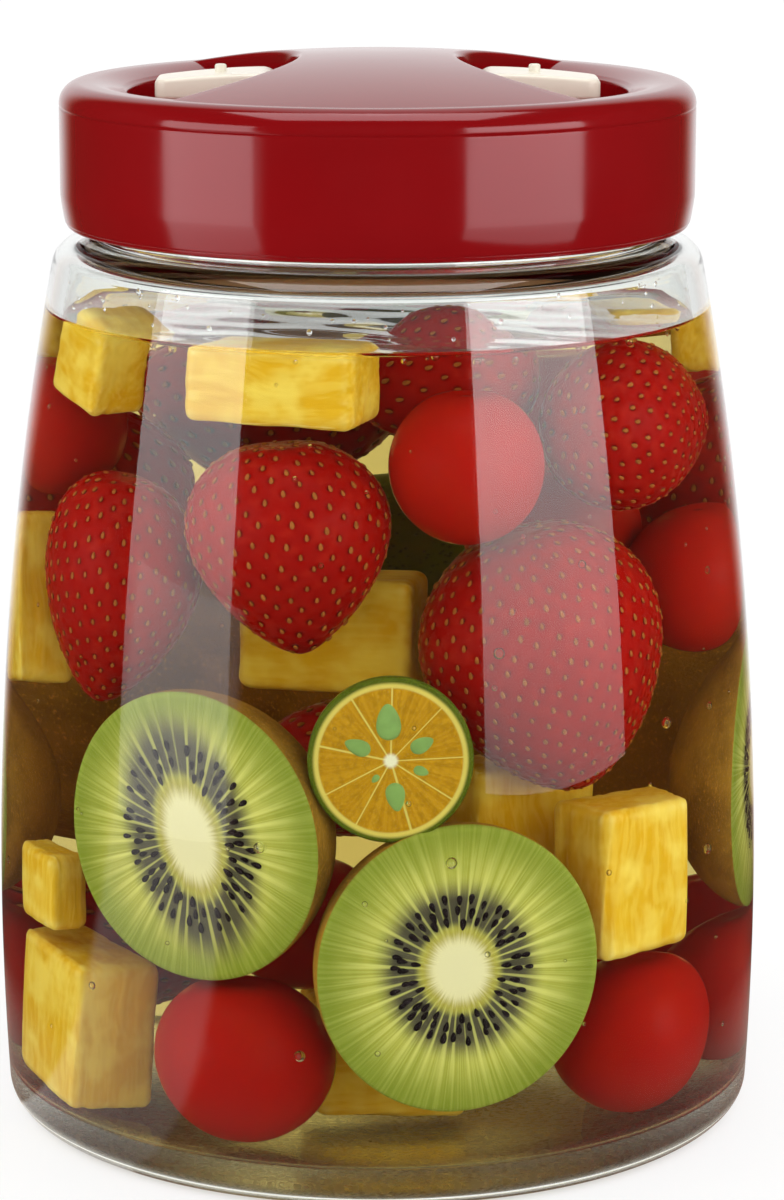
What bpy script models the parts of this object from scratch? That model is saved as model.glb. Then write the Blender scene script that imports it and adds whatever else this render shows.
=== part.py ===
"""Two-litre glass fermentation jar with a red screw cap, two flip vents and a filling of cut fruit.

Metres, +Z up. The origin is on the jar's axis, in the plane that the jar stands on. Azimuths are
degrees about that axis: 0 faces -Y, which is the front, and positive azimuths turn towards +X.
"""

import math

import bmesh
import bpy
import numpy as np
from mathutils import Matrix, Vector

# Working clearances between pieces
SEAT_GAP = 0.0003
THREAD_GAP = 0.0004
GLASS_GAP = 0.0007
MERGE = 0.00001

# Facets of round pieces
ROUND_STEPS = 44
SMALL_STEPS = 20
SCOOP_STEPS = 72
FRUIT_STEPS = 14

# Glass body
BELLY_RADIUS = 0.0736
BELLY_HEIGHT = 0.040
SIDE_TAPER = 0.1732
WALL = 0.0036
FLOOR = 0.0065
FLOOR_ROUND = 0.005
HEEL_ROUND = 0.005
PUNT_RADIUS = 0.058
PUNT_BEVEL = 0.0012
PUNT_HEIGHT = 0.0022
SHOULDER_TOP = 0.1687
SHOULDER_ROUND = 0.0055
SHOULDER_FLAT = 0.00283
NECK_FILLET = 0.0012
NECK_WALL = 0.0033
NECK_HEIGHT = 0.0183
LIP_ROUND = 0.0012

# Two-start thread, right-handed
THREAD_LEAD = 0.012
THREAD_STARTS = 2
JAR_BEAD_RADIUS = 0.0014
JAR_BEAD_SINK = 0.0002
JAR_THREAD_ABOVE_SHOULDER = 0.0063
JAR_THREAD_TURN = 240.0
LINER_BEAD_RADIUS = 0.0011
LINER_BEAD_SINK = 0.0002
LINER_THREAD_DROP = 0.0024
LINER_THREAD_FROM = 60.0
LINER_THREAD_TURN = 150.0
THREAD_STEP = 12.0

# Sealing ring and threaded liner
GASKET_THICKNESS = 0.0011
LINER_WALL = 0.0016
LINER_DISC = 0.0015
LINER_PLUG_WALL = 0.0014
LINER_PLUG_DEPTH = 0.0045
LINER_PLUG_GAP = 0.0004
LINER_SKIRT_GAP = 0.001

# Red shell of the cap
CAP_WALL = 0.0029
CAP_ABOVE_SHOULDER = 0.0023
CAP_TUCK = 0.0014
CAP_TUCK_HEIGHT = 0.019
CAP_TUCK_POWER = 2.6
CAP_EDGE_ROUND = 0.004
RIM_FLAT = 0.0019
DISH_WIDTH = 0.007
DISH_DEPTH = 0.0017
CAP_FLOOR_WALL = 0.0015
DOME_RISE = 0.0051
DOME_REACH = 0.0005
SCOOP_RADIUS = 0.0458
BRIDGE_WALL = 0.0022

# Vent levers, their pins and stoppers
FINGER_GAP = 0.0053
PORT_FROM_LEVER_END = 0.0122
PIVOT_FROM_PORT = 0.0077
BRIDGE_FROM_PIVOT = 0.0068
PORT_RADIUS = 0.0052
SEAT_WALL = 0.0011
SEAT_LIP = 0.0008
SEAT_FLANGE = 0.0009
KNUCKLE_RADIUS = 0.0033
LEVER_TOP_ABOVE_RIM = 0.0018
LEVER_FALL = 0.0014
LEVER_THICKNESS = 0.0036
LEVER_HALF_WIDTH = 0.0085
LEVER_END_HALF_WIDTH = 0.0066
LEVER_CORNER_ROUND = 0.0022
LEVER_EDGE_ROUND = 0.0005
PIN_RADIUS = 0.001
EAR_THICKNESS = 0.002
EAR_WALL = 0.0011
STOPPER_LIP = 0.0008
STOPPER_FLANGE = 0.001
STOPPER_PLUG_GAP = 0.0005
STOPPER_PLUG_TAPER = 0.0009
STOPPER_PLUG_LENGTH = 0.0023
STEM_RADIUS = 0.0011
STEM_PROUD = 0.00115

# Filling. Its fruit is packed to suit the jar, so the fruit is measured in units of the space that
# it fills: so many from the axis to the glass, and so many from the floor to the liquid's surface.
# A face is a cut face's half width and half height, and a depth is what lies behind it
HEADSPACE = 0.0147
UNITS_TO_GLASS = 70.0
UNITS_TO_SURFACE = 147.5
KIWI_FACE = (25.8, 26.6)
KIWI_DEPTH = 26.0
CALAMONDIN_FACE = (14.5, 15.2)
CALAMONDIN_DEPTH = 12.0
CHUNK_EDGE = 1.2


SIDE_TAPER_REACH = SIDE_TAPER * BELLY_RADIUS
SIDE_ARC_RADIUS = (
    (SHOULDER_TOP - BELLY_HEIGHT) ** 2 + SIDE_TAPER_REACH**2
) / (2 * SIDE_TAPER_REACH)


def side_point(offset, height):
    """Radius of the glass side at a height, moved in by offset along the arc's own radius."""
    reach = SIDE_ARC_RADIUS - offset
    return BELLY_RADIUS - SIDE_ARC_RADIUS + math.sqrt(reach**2 - (height - BELLY_HEIGHT) ** 2)


def blend_centre(offset, radius, height):
    """Centre radius, and normal's tilt in degrees, of a round that meets the side smoothly.

    The round's centre is at the height given, on the line from the side arc's own centre.
    """
    reach = SIDE_ARC_RADIUS - offset - radius
    tilt = math.asin((height - BELLY_HEIGHT) / reach)
    centre = BELLY_RADIUS - SIDE_ARC_RADIUS + reach * math.cos(tilt)
    return centre, math.degrees(tilt)


# Heights and radii that follow from the sizes above
LIP_TOP = SHOULDER_TOP + NECK_HEIGHT
NECK_RADIUS = blend_centre(0.0, SHOULDER_ROUND, SHOULDER_TOP - SHOULDER_ROUND)[0] - SHOULDER_FLAT
MOUTH_RADIUS = NECK_RADIUS - NECK_WALL
JAR_THREAD_START = SHOULDER_TOP + JAR_THREAD_ABOVE_SHOULDER
JAR_BEAD_REACH = NECK_RADIUS - JAR_BEAD_SINK + JAR_BEAD_RADIUS
LINER_PLUG_RADIUS = MOUTH_RADIUS - LINER_PLUG_GAP
LINER_INNER_RADIUS = JAR_BEAD_REACH + THREAD_GAP
LINER_RADIUS = LINER_INNER_RADIUS + LINER_WALL
CAP_INNER_RADIUS = LINER_RADIUS + SEAT_GAP
CAP_RADIUS = CAP_INNER_RADIUS + CAP_WALL
RECESS_RADIUS = CAP_RADIUS - CAP_EDGE_ROUND - RIM_FLAT - DISH_WIDTH
DOME_RADIUS = CAP_RADIUS - CAP_EDGE_ROUND - RIM_FLAT + DOME_REACH
LEVER_END_OFFSET = RECESS_RADIUS - FINGER_GAP
PORT_OFFSET = LEVER_END_OFFSET - PORT_FROM_LEVER_END
PIVOT_OFFSET = PORT_OFFSET - PIVOT_FROM_PORT
BRIDGE_HALF_WAIST = PIVOT_OFFSET - BRIDGE_FROM_PIVOT
SCOOP_OFFSET = BRIDGE_HALF_WAIST + SCOOP_RADIUS
CAP_BOTTOM = SHOULDER_TOP + CAP_ABOVE_SHOULDER
LINER_BOTTOM = CAP_BOTTOM + LINER_SKIRT_GAP
GASKET_BOTTOM = LIP_TOP + SEAT_GAP
GASKET_TOP = GASKET_BOTTOM + GASKET_THICKNESS
LINER_UNDERSIDE = GASKET_TOP + SEAT_GAP
LINER_TOP = LINER_UNDERSIDE + LINER_DISC
CAP_UNDERSIDE = LINER_TOP + SEAT_GAP
RECESS_FLOOR = CAP_UNDERSIDE + CAP_FLOOR_WALL
SEAT_TOP = RECESS_FLOOR + SEAT_GAP + SEAT_FLANGE
STOPPER_TOP = SEAT_TOP + SEAT_GAP + STOPPER_FLANGE
LEVER_UNDERSIDE = STOPPER_TOP + SEAT_GAP
LEVER_END_TOP = LEVER_UNDERSIDE + LEVER_THICKNESS
KNUCKLE_TOP = LEVER_END_TOP + LEVER_FALL
RIM_TOP = KNUCKLE_TOP - LEVER_TOP_ABOVE_RIM
PIVOT_HEIGHT = KNUCKLE_TOP - KNUCKLE_RADIUS
EAR_RADIUS = PIN_RADIUS + SEAT_GAP + EAR_WALL
SEAT_BORE_RADIUS = PORT_RADIUS - SEAT_GAP - SEAT_WALL
SEAT_FLANGE_RADIUS = PORT_RADIUS + SEAT_LIP
STOPPER_FLANGE_RADIUS = SEAT_BORE_RADIUS + STOPPER_LIP
STOPPER_PLUG_TOP_RADIUS = SEAT_BORE_RADIUS - STOPPER_PLUG_GAP
STOPPER_PLUG_END_RADIUS = STOPPER_PLUG_TOP_RADIUS - STOPPER_PLUG_TAPER
FILL_TOP = SHOULDER_TOP - HEADSPACE
UNIT_ACROSS = (BELLY_RADIUS - WALL) / UNITS_TO_GLASS
UNIT_UP = (FILL_TOP - FLOOR) / UNITS_TO_SURFACE


def clear_scene():
    for obj in list(bpy.data.objects):
        bpy.data.objects.remove(obj, do_unlink=True)


def new_collection(name):
    collection = bpy.data.collections.new(name)
    bpy.context.scene.collection.children.link(collection)
    return collection


clear_scene()
JAR = new_collection("fermentation_jar")
CUTTERS = new_collection("cutters")
def principled(name, colour, roughness, transmission=0.0, metallic=0.0):
    """A material with one Principled BSDF: linear colour, roughness, glassiness and metal."""
    material = bpy.data.materials.new(name)
    material.use_nodes = True
    shader = material.node_tree.nodes["Principled BSDF"]
    shader.inputs["Base Color"].default_value = (*colour, 1.0)
    shader.inputs["Roughness"].default_value = roughness
    shader.inputs["Metallic"].default_value = metallic
    shader.inputs["Transmission Weight"].default_value = transmission
    material.diffuse_color = (*colour, 1.0)
    return material


def place(name, mesh, material):
    """A part of the jar, in the jar's collection."""
    obj = bpy.data.objects.new(name, mesh)
    JAR.objects.link(obj)
    mesh.materials.append(material)
    return obj


def as_tool(obj):
    """Makes an object a cutter or a joining tool, which the finished jar leaves out."""
    for collection in list(obj.users_collection):
        collection.objects.unlink(obj)
    CUTTERS.objects.link(obj)
    obj.hide_render = True
    obj.display_type = "WIRE"
    return obj


def tool_from_mesh(name, mesh):
    return as_tool(bpy.data.objects.new(name, mesh))


def boolean(obj, tool, operation):
    modifier = obj.modifiers.new(tool.name, "BOOLEAN")
    modifier.operation = operation
    modifier.solver = "EXACT"
    modifier.object = tool


def screw(obj, steps):
    modifier = obj.modifiers.new("Turn", "SCREW")
    modifier.steps = steps
    modifier.render_steps = steps
    modifier.use_smooth_shade = True
    modifier.use_merge_vertices = True
    modifier.merge_threshold = MERGE


def profile_mesh(name, profile, closed):
    """A mesh of edges along a profile of (radius, height) pairs, in the plane y = 0."""
    count = len(profile)
    edges = [(i, i + 1) for i in range(count - 1)]
    if closed:
        edges.append((count - 1, 0))
    mesh = bpy.data.meshes.new(name)
    mesh.from_pydata([(r, 0.0, z) for r, z in profile], edges, [])
    return mesh


def turned(name, profile, material, steps=ROUND_STEPS, closed=False):
    """A solid of revolution. Its profile runs down the outer side and up the inner one."""
    obj = place(name, profile_mesh(name, profile, closed), material)
    screw(obj, steps)
    return obj


def turned_tool(name, profile, steps=ROUND_STEPS, closed=False):
    obj = tool_from_mesh(name, profile_mesh(name, profile, closed))
    screw(obj, steps)
    return obj


def cylinder_tool(name, radius, length, centre, axis="Z", steps=SMALL_STEPS):
    """A cylinder tool about centre, along the axis named."""
    mesh = bpy.data.meshes.new(name)
    shape = bmesh.new()
    bmesh.ops.create_cone(
        shape, cap_ends=True, segments=steps, radius1=radius, radius2=radius, depth=length
    )
    turn = {"X": Matrix.Rotation(math.pi / 2, 4, "Y"), "Y": Matrix.Rotation(math.pi / 2, 4, "X")}
    matrix = Matrix.Translation(centre) @ turn.get(axis, Matrix.Identity(4))
    bmesh.ops.transform(shape, matrix=matrix, verts=shape.verts)
    shape.to_mesh(mesh)
    shape.free()
    return tool_from_mesh(name, mesh)


def arc(centre_r, centre_z, radius, start, end, count):
    """Points of a profile arc from the start angle to the end angle, in degrees above +r."""
    angles = np.radians(np.linspace(start, end, count + 1))
    return [(centre_r + radius * math.cos(a), centre_z + radius * math.sin(a)) for a in angles]


def jar_outer_profile():
    """From the lip's flat down the neck, shoulder and side to the middle of the base."""
    lip_centre = LIP_TOP - LIP_ROUND
    points = arc(NECK_RADIUS - LIP_ROUND, lip_centre, LIP_ROUND, 90, 0, 2)
    fillet_r = NECK_RADIUS + NECK_FILLET
    points += arc(fillet_r, SHOULDER_TOP + NECK_FILLET, NECK_FILLET, 180, 270, 2)
    centre_z = SHOULDER_TOP - SHOULDER_ROUND
    centre_r, top_tilt = blend_centre(0.0, SHOULDER_ROUND, centre_z)
    points += arc(centre_r, centre_z, SHOULDER_ROUND, 90, top_tilt, 5)
    heel_r, heel_tilt = blend_centre(0.0, HEEL_ROUND, HEEL_ROUND)
    side_top = centre_z + SHOULDER_ROUND * math.sin(math.radians(top_tilt))
    side_bottom = HEEL_ROUND + HEEL_ROUND * math.sin(math.radians(heel_tilt))
    heights = np.linspace(side_top, side_bottom, 7)[1:-1]
    points += [(side_point(0.0, z), z) for z in heights]
    points += arc(heel_r, HEEL_ROUND, HEEL_ROUND, heel_tilt, -90, 4)
    points += [(PUNT_RADIUS, 0.0), (PUNT_RADIUS - PUNT_BEVEL, PUNT_BEVEL), (0.0, PUNT_HEIGHT)]
    return points


def jar_inner_profile():
    """From the middle of the floor up the inside to the lip's inner edge."""
    floor_centre = FLOOR + FLOOR_ROUND
    floor_r, floor_tilt = blend_centre(WALL, FLOOR_ROUND, floor_centre)
    points = [(0.0, FLOOR)]
    points += arc(floor_r, floor_centre, FLOOR_ROUND, -90, floor_tilt, 3)
    round_in = SHOULDER_ROUND - WALL
    centre_z = SHOULDER_TOP - SHOULDER_ROUND
    centre_r, top_tilt = blend_centre(WALL, round_in, centre_z)
    low = floor_centre + FLOOR_ROUND * math.sin(math.radians(floor_tilt))
    high = centre_z + round_in * math.sin(math.radians(top_tilt))
    heights = np.linspace(low, high, 6)[1:-1]
    points += [(side_point(WALL, z), z) for z in heights]
    points += arc(centre_r, centre_z, round_in, top_tilt, 90, 3)
    fillet_z = SHOULDER_TOP - WALL + NECK_FILLET
    points += arc(MOUTH_RADIUS + NECK_FILLET, fillet_z, NECK_FILLET, 270, 180, 2)
    points += arc(MOUTH_RADIUS + LIP_ROUND, LIP_TOP - LIP_ROUND, LIP_ROUND, 180, 90, 2)
    return points


def helix_bead(name, radius, bead, start_height, start_turn, turn):
    """A thread start: a round bead along a right-handed helix, thin where it begins and ends."""
    count = int(round(turn / THREAD_STEP)) + 1
    curve = bpy.data.curves.new(name, "CURVE")
    curve.dimensions = "3D"
    curve.bevel_depth = bead
    curve.bevel_resolution = 1
    curve.use_fill_caps = True
    spline = curve.splines.new("POLY")
    spline.points.add(count - 1)
    for i, point in enumerate(spline.points):
        angle = math.radians(start_turn + turn * i / (count - 1))
        height = start_height + THREAD_LEAD * (turn * i / (count - 1)) / 360.0
        point.co = (radius * math.cos(angle), radius * math.sin(angle), height, 1.0)
        point.radius = 0.55 if i in (0, count - 1) else 1.0
    guide = bpy.data.objects.new(name + "_guide", curve)
    CUTTERS.objects.link(guide)
    bpy.context.view_layer.update()
    depsgraph = bpy.context.evaluated_depsgraph_get()
    mesh = bpy.data.meshes.new_from_object(guide.evaluated_get(depsgraph))
    mesh.name = name
    shape = bmesh.new()
    shape.from_mesh(mesh)
    bmesh.ops.remove_doubles(shape, verts=shape.verts, dist=MERGE)
    bmesh.ops.recalc_face_normals(shape, faces=shape.faces)
    shape.to_mesh(mesh)
    shape.free()
    tool = tool_from_mesh(name, mesh)
    tool.matrix_world = guide.matrix_world
    bpy.data.objects.remove(guide, do_unlink=True)
    return tool


def add_thread(obj, label, radius, bead, start_height, start_turn, turn):
    """Joins each start of the thread to obj."""
    for start in range(THREAD_STARTS):
        offset = 360.0 * start / THREAD_STARTS
        tool = helix_bead(f"{label}_{start}", radius, bead, start_height, start_turn + offset, turn)
        boolean(obj, tool, "UNION")


def make_jar():
    glass = principled("clear_glass", (0.92, 0.96, 0.93), 0.02, transmission=1.0)
    obj = turned("glass_jar", jar_inner_profile() + jar_outer_profile(), glass)
    add_thread(
        obj,
        "jar_thread",
        NECK_RADIUS - JAR_BEAD_SINK,
        JAR_BEAD_RADIUS,
        JAR_THREAD_START,
        0.0,
        JAR_THREAD_TURN,
    )


def ring_profile(inner, outer, bottom, top):
    """A closed rectangular ring section, down its outer side first."""
    return [(outer, top), (outer, bottom), (inner, bottom), (inner, top)]


def make_gasket():
    silicone = principled("clear_silicone", (0.80, 0.80, 0.76), 0.45)
    inner = LINER_PLUG_RADIUS + SEAT_GAP
    outer = LINER_INNER_RADIUS - SEAT_GAP
    profile = ring_profile(inner, outer, GASKET_BOTTOM, GASKET_TOP)
    turned("mouth_gasket", profile, silicone, closed=True)


def port_tool(name, side, low, high):
    centre = Vector((side * PORT_OFFSET, 0.0, (low + high) / 2))
    return cylinder_tool(name, PORT_RADIUS, high - low, centre)


def make_liner():
    cream = principled("cream_plastic", (0.83, 0.77, 0.62), 0.35)
    plug_bottom = LINER_UNDERSIDE - LINER_PLUG_DEPTH
    plug_inner = LINER_PLUG_RADIUS - LINER_PLUG_WALL
    profile = [
        (0.0, LINER_TOP),
        (LINER_RADIUS - SEAT_GAP, LINER_TOP),
        (LINER_RADIUS, LINER_TOP - SEAT_GAP),
        (LINER_RADIUS, LINER_BOTTOM),
        (LINER_INNER_RADIUS, LINER_BOTTOM),
        (LINER_INNER_RADIUS, LINER_UNDERSIDE),
        (LINER_PLUG_RADIUS, LINER_UNDERSIDE),
        (LINER_PLUG_RADIUS, plug_bottom),
        (plug_inner, plug_bottom),
        (plug_inner, LINER_UNDERSIDE),
        (0.0, LINER_UNDERSIDE),
    ]
    obj = turned("cap_liner", profile, cream)
    rise = THREAD_LEAD * LINER_THREAD_FROM / 360.0
    add_thread(
        obj,
        "liner_thread",
        LINER_INNER_RADIUS + LINER_BEAD_SINK,
        LINER_BEAD_RADIUS,
        JAR_THREAD_START - LINER_THREAD_DROP + rise,
        LINER_THREAD_FROM,
        LINER_THREAD_TURN,
    )
    for side in (-1, 1):
        low = LINER_UNDERSIDE - SEAT_GAP
        high = LINER_TOP + SEAT_GAP
        boolean(obj, port_tool(f"liner_port_{side}", side, low, high), "DIFFERENCE")


def dome_height(radius):
    """Height of the bridge's domed top: a sphere cap that meets the rim's plane at DOME_RADIUS."""
    sphere = (DOME_RADIUS**2 + DOME_RISE**2) / (2 * DOME_RISE)
    return RIM_TOP + DOME_RISE - sphere + math.sqrt(sphere**2 - radius**2)


def dome_profile(reach, drop, bottom, count):
    """A solid under the dome, lowered by drop and cut off at reach and at bottom."""
    radii = np.linspace(0.0, reach, count + 1)
    points = [(r, dome_height(r) - drop) for r in radii]
    return points + [(reach, bottom), (0.0, bottom)]


def cap_shell_profile():
    """Recess floor, dished rim, rounded edge, side that tucks in, and the plain inside."""
    dish_out = RECESS_RADIUS + DISH_WIDTH
    points = [(0.0, RECESS_FLOOR), (RECESS_RADIUS, RECESS_FLOOR)]
    for share in (0.0, 0.35, 0.7, 1.0):
        # The dish is steepest near the recess and flattens out towards the rim
        points.append((RECESS_RADIUS + DISH_WIDTH * share, RIM_TOP - DISH_DEPTH * (1 - share) ** 1.6))
    edge_r = dish_out + RIM_FLAT
    points += arc(edge_r, RIM_TOP - CAP_EDGE_ROUND, CAP_EDGE_ROUND, 90, 0, 5)
    for share in (0.25, 0.5, 0.7, 0.85, 1.0):
        inset = CAP_TUCK * share**CAP_TUCK_POWER
        points.append((CAP_RADIUS - inset, CAP_BOTTOM + CAP_TUCK_HEIGHT * (1 - share)))
    points += [(CAP_INNER_RADIUS, CAP_BOTTOM), (CAP_INNER_RADIUS, CAP_UNDERSIDE), (0.0, CAP_UNDERSIDE)]
    return points


def scoop_tools(label, radius, low, high):
    """The two round scoops that leave the bridge between them."""
    tools = []
    for side in (-1, 1):
        centre = Vector((side * SCOOP_OFFSET, 0.0, (low + high) / 2))
        tools.append(
            cylinder_tool(f"{label}_{side}", radius, high - low, centre, steps=SCOOP_STEPS)
        )
    return tools


def make_bridge_tool():
    """The domed grip across the cap, narrow at the waist and as wide as the rim at its ends."""
    bottom = CAP_UNDERSIDE + CAP_FLOOR_WALL / 2
    bridge = turned_tool("bridge", dome_profile(DOME_RADIUS, 0.0, bottom, 6))
    for tool in scoop_tools("scoop", SCOOP_RADIUS, bottom - WALL, RIM_TOP + 2 * DOME_RISE):
        boolean(bridge, tool, "DIFFERENCE")
    return bridge


def make_bridge_hollow():
    """The space inside the grip, open towards the liner, one wall smaller all round."""
    bottom = CAP_UNDERSIDE - SEAT_GAP
    reach = RECESS_RADIUS - BRIDGE_WALL
    hollow = turned_tool("bridge_hollow", dome_profile(reach, BRIDGE_WALL, bottom, 4))
    for tool in scoop_tools("hollow_scoop", SCOOP_RADIUS + BRIDGE_WALL, bottom - WALL, RIM_TOP + DOME_RISE):
        boolean(hollow, tool, "DIFFERENCE")
    return hollow


def ear_tool(name, side, edge):
    """An ear that carries one end of a lever's pin: a post with a round head."""
    middle = edge * (LEVER_HALF_WIDTH + SEAT_GAP + EAR_THICKNESS / 2)
    foot = CAP_UNDERSIDE + CAP_FLOOR_WALL / 2
    outline = [(-EAR_RADIUS, foot - PIVOT_HEIGHT)]
    outline += [(r, z) for r, z in arc(0.0, 0.0, EAR_RADIUS, 180, 0, 8)]
    outline.append((EAR_RADIUS, foot - PIVOT_HEIGHT))
    mesh = extruded(name, outline, EAR_THICKNESS)
    tool = tool_from_mesh(name, mesh)
    mesh.transform(Matrix.Translation((side * PIVOT_OFFSET, middle, PIVOT_HEIGHT)))
    return tool


def extruded(name, outline, thickness):
    """A flat outline of (x, z) pairs made into a plate across y, as a closed mesh."""
    curve = bpy.data.curves.new(name, "CURVE")
    curve.dimensions = "2D"
    curve.fill_mode = "BOTH"
    curve.extrude = thickness / 2
    spline = curve.splines.new("POLY")
    spline.points.add(len(outline) - 1)
    for point, (x, z) in zip(spline.points, outline):
        point.co = (x, z, 0.0, 1.0)
    spline.use_cyclic_u = True
    guide = bpy.data.objects.new(name + "_guide", curve)
    CUTTERS.objects.link(guide)
    bpy.context.view_layer.update()
    depsgraph = bpy.context.evaluated_depsgraph_get()
    mesh = bpy.data.meshes.new_from_object(guide.evaluated_get(depsgraph))
    mesh.name = name
    bpy.data.objects.remove(guide, do_unlink=True)
    shape = bmesh.new()
    shape.from_mesh(mesh)
    bmesh.ops.remove_doubles(shape, verts=shape.verts, dist=MERGE)
    bmesh.ops.transform(shape, matrix=Matrix.Rotation(math.pi / 2, 4, "X"), verts=shape.verts)
    bmesh.ops.recalc_face_normals(shape, faces=shape.faces)
    shape.to_mesh(mesh)
    shape.free()
    return mesh


def pin_bore(name, side):
    length = 2 * (LEVER_HALF_WIDTH + EAR_THICKNESS + WALL)
    centre = Vector((side * PIVOT_OFFSET, 0.0, PIVOT_HEIGHT))
    return cylinder_tool(name, PIN_RADIUS + SEAT_GAP, length, centre, axis="Y")


def make_cap_shell():
    red = principled("red_plastic", (0.30, 0.004, 0.007), 0.12)
    obj = turned("cap_shell", cap_shell_profile(), red)
    boolean(obj, make_bridge_tool(), "UNION")
    boolean(obj, make_bridge_hollow(), "DIFFERENCE")
    for side in (-1, 1):
        for edge in (-1, 1):
            boolean(obj, ear_tool(f"ear_{side}_{edge}", side, edge), "UNION")
        boolean(obj, pin_bore(f"ear_bore_{side}", side), "DIFFERENCE")
        low = CAP_UNDERSIDE - SEAT_GAP
        high = RECESS_FLOOR + SEAT_GAP
        boolean(obj, port_tool(f"cap_port_{side}", side, low, high), "DIFFERENCE")


def shifted(obj, x):
    """Moves a turned object's axis to x."""
    obj.location.x = x
    return obj


def make_vent_seats():
    """Soft collars that line each vent hole through the shell and the liner."""
    silicone = principled("seat_silicone", (0.80, 0.80, 0.76), 0.45)
    body = PORT_RADIUS - SEAT_GAP
    bottom = LINER_UNDERSIDE
    flange_bottom = RECESS_FLOOR + SEAT_GAP
    profile = [
        (SEAT_BORE_RADIUS + SEAT_GAP, SEAT_TOP),
        (SEAT_FLANGE_RADIUS, SEAT_TOP),
        (SEAT_FLANGE_RADIUS, flange_bottom),
        (body, flange_bottom),
        (body, bottom),
        (SEAT_BORE_RADIUS, bottom),
        (SEAT_BORE_RADIUS, SEAT_TOP - SEAT_GAP),
    ]
    for label, side in (("left", -1), ("right", 1)):
        obj = turned(f"vent_seat_{label}", profile, silicone.copy(), SMALL_STEPS, closed=True)
        shifted(obj, side * PORT_OFFSET)


def lever_outline(side):
    """Side view of a lever: a round knuckle, a crowned top and a flat underside."""
    knuckle = arc(0.0, 0.0, KNUCKLE_RADIUS, 90, 300, 9)
    reach = LEVER_END_OFFSET - PIVOT_OFFSET
    top = KNUCKLE_RADIUS
    underside = LEVER_UNDERSIDE - PIVOT_HEIGHT
    outline = [(x, z) for x, z in knuckle]
    start = math.sqrt(KNUCKLE_RADIUS**2 - underside**2)
    outline = [(x, z) for x, z in outline if not (x > 0 and z < underside)]
    outline.append((start, underside))
    outline.append((reach, underside))
    for share in (1.0, 0.75, 0.5, 0.25):
        # The crown falls away slowly at first and faster towards the finger end
        outline.append((reach * share, top - LEVER_FALL * share**1.7))
    return [(side * x, z) for x, z in outline]


def make_lever(label, side):
    cream = principled(f"cream_lever_{label}", (0.86, 0.81, 0.68), 0.30)
    name = f"vent_lever_{label}"
    mesh = extruded(name, lever_outline(side), 2 * LEVER_HALF_WIDTH)
    reach = LEVER_END_OFFSET - PIVOT_OFFSET
    narrowing = 1.0 - LEVER_END_HALF_WIDTH / LEVER_HALF_WIDTH
    for vertex in mesh.vertices:
        share = max(0.0, side * vertex.co.x) / reach
        vertex.co.y *= 1.0 - narrowing * share
    round_end_corners(mesh, side * reach)
    obj = place(name, mesh, cream)
    obj.location = (side * PIVOT_OFFSET, 0.0, PIVOT_HEIGHT)
    bevel = obj.modifiers.new("Edges", "BEVEL")
    bevel.width = LEVER_EDGE_ROUND
    bevel.segments = 1
    bevel.limit_method = "ANGLE"
    bevel.angle_limit = math.radians(50)
    boolean(obj, pin_bore(f"lever_bore_{label}", side), "DIFFERENCE")
    centre = Vector((side * PORT_OFFSET, 0.0, LEVER_END_TOP))
    stem = cylinder_tool(f"stem_bore_{label}", STEM_RADIUS + SEAT_GAP, 0.02, centre, steps=12)
    boolean(obj, stem, "DIFFERENCE")


def round_end_corners(mesh, end):
    """Rounds the two upright corners of the lever's finger end, at x = end."""
    shape = bmesh.new()
    shape.from_mesh(mesh)
    upright = []
    for edge in shape.edges:
        a, b = edge.verts
        at_end = abs(a.co.x - end) < MERGE and abs(b.co.x - end) < MERGE
        if at_end and abs(a.co.y - b.co.y) < MERGE:
            upright.append(edge)
    bmesh.ops.bevel(
        shape, geom=upright, offset=LEVER_CORNER_ROUND, segments=3, profile=0.5, affect="EDGES"
    )
    shape.to_mesh(mesh)
    shape.free()


def make_pin(label, side):
    steel = principled(f"pin_steel_{label}", (0.60, 0.60, 0.60), 0.25, metallic=1.0)
    length = 2 * (LEVER_HALF_WIDTH + SEAT_GAP + EAR_THICKNESS + SEAT_GAP)
    mesh = bpy.data.meshes.new(f"hinge_pin_{label}")
    shape = bmesh.new()
    bmesh.ops.create_cone(
        shape, cap_ends=True, segments=12, radius1=PIN_RADIUS, radius2=PIN_RADIUS, depth=length
    )
    bmesh.ops.rotate(shape, matrix=Matrix.Rotation(math.pi / 2, 3, "X"), verts=shape.verts)
    shape.to_mesh(mesh)
    shape.free()
    obj = place(f"hinge_pin_{label}", mesh, steel)
    obj.location = (side * PIVOT_OFFSET, 0.0, PIVOT_HEIGHT)


def make_stopper(label, side):
    """Plug, flange and a pulled-through stem whose end stands above the lever."""
    silicone = principled(f"stopper_silicone_{label}", (0.86, 0.84, 0.76), 0.40)
    flange_bottom = STOPPER_TOP - STOPPER_FLANGE
    plug_end = SEAT_TOP + SEAT_GAP - STOPPER_PLUG_LENGTH
    profile = [
        (0.0, KNUCKLE_TOP + STEM_PROUD),
        (STEM_RADIUS, KNUCKLE_TOP + STEM_PROUD),
        (STEM_RADIUS, STOPPER_TOP),
        (STOPPER_FLANGE_RADIUS, STOPPER_TOP),
        (STOPPER_FLANGE_RADIUS, flange_bottom),
        (STOPPER_PLUG_TOP_RADIUS, flange_bottom),
        (STOPPER_PLUG_END_RADIUS, plug_end),
        (0.0, plug_end),
    ]
    obj = turned(f"vent_stopper_{label}", profile, silicone, SMALL_STEPS)
    shifted(obj, side * PORT_OFFSET)


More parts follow.
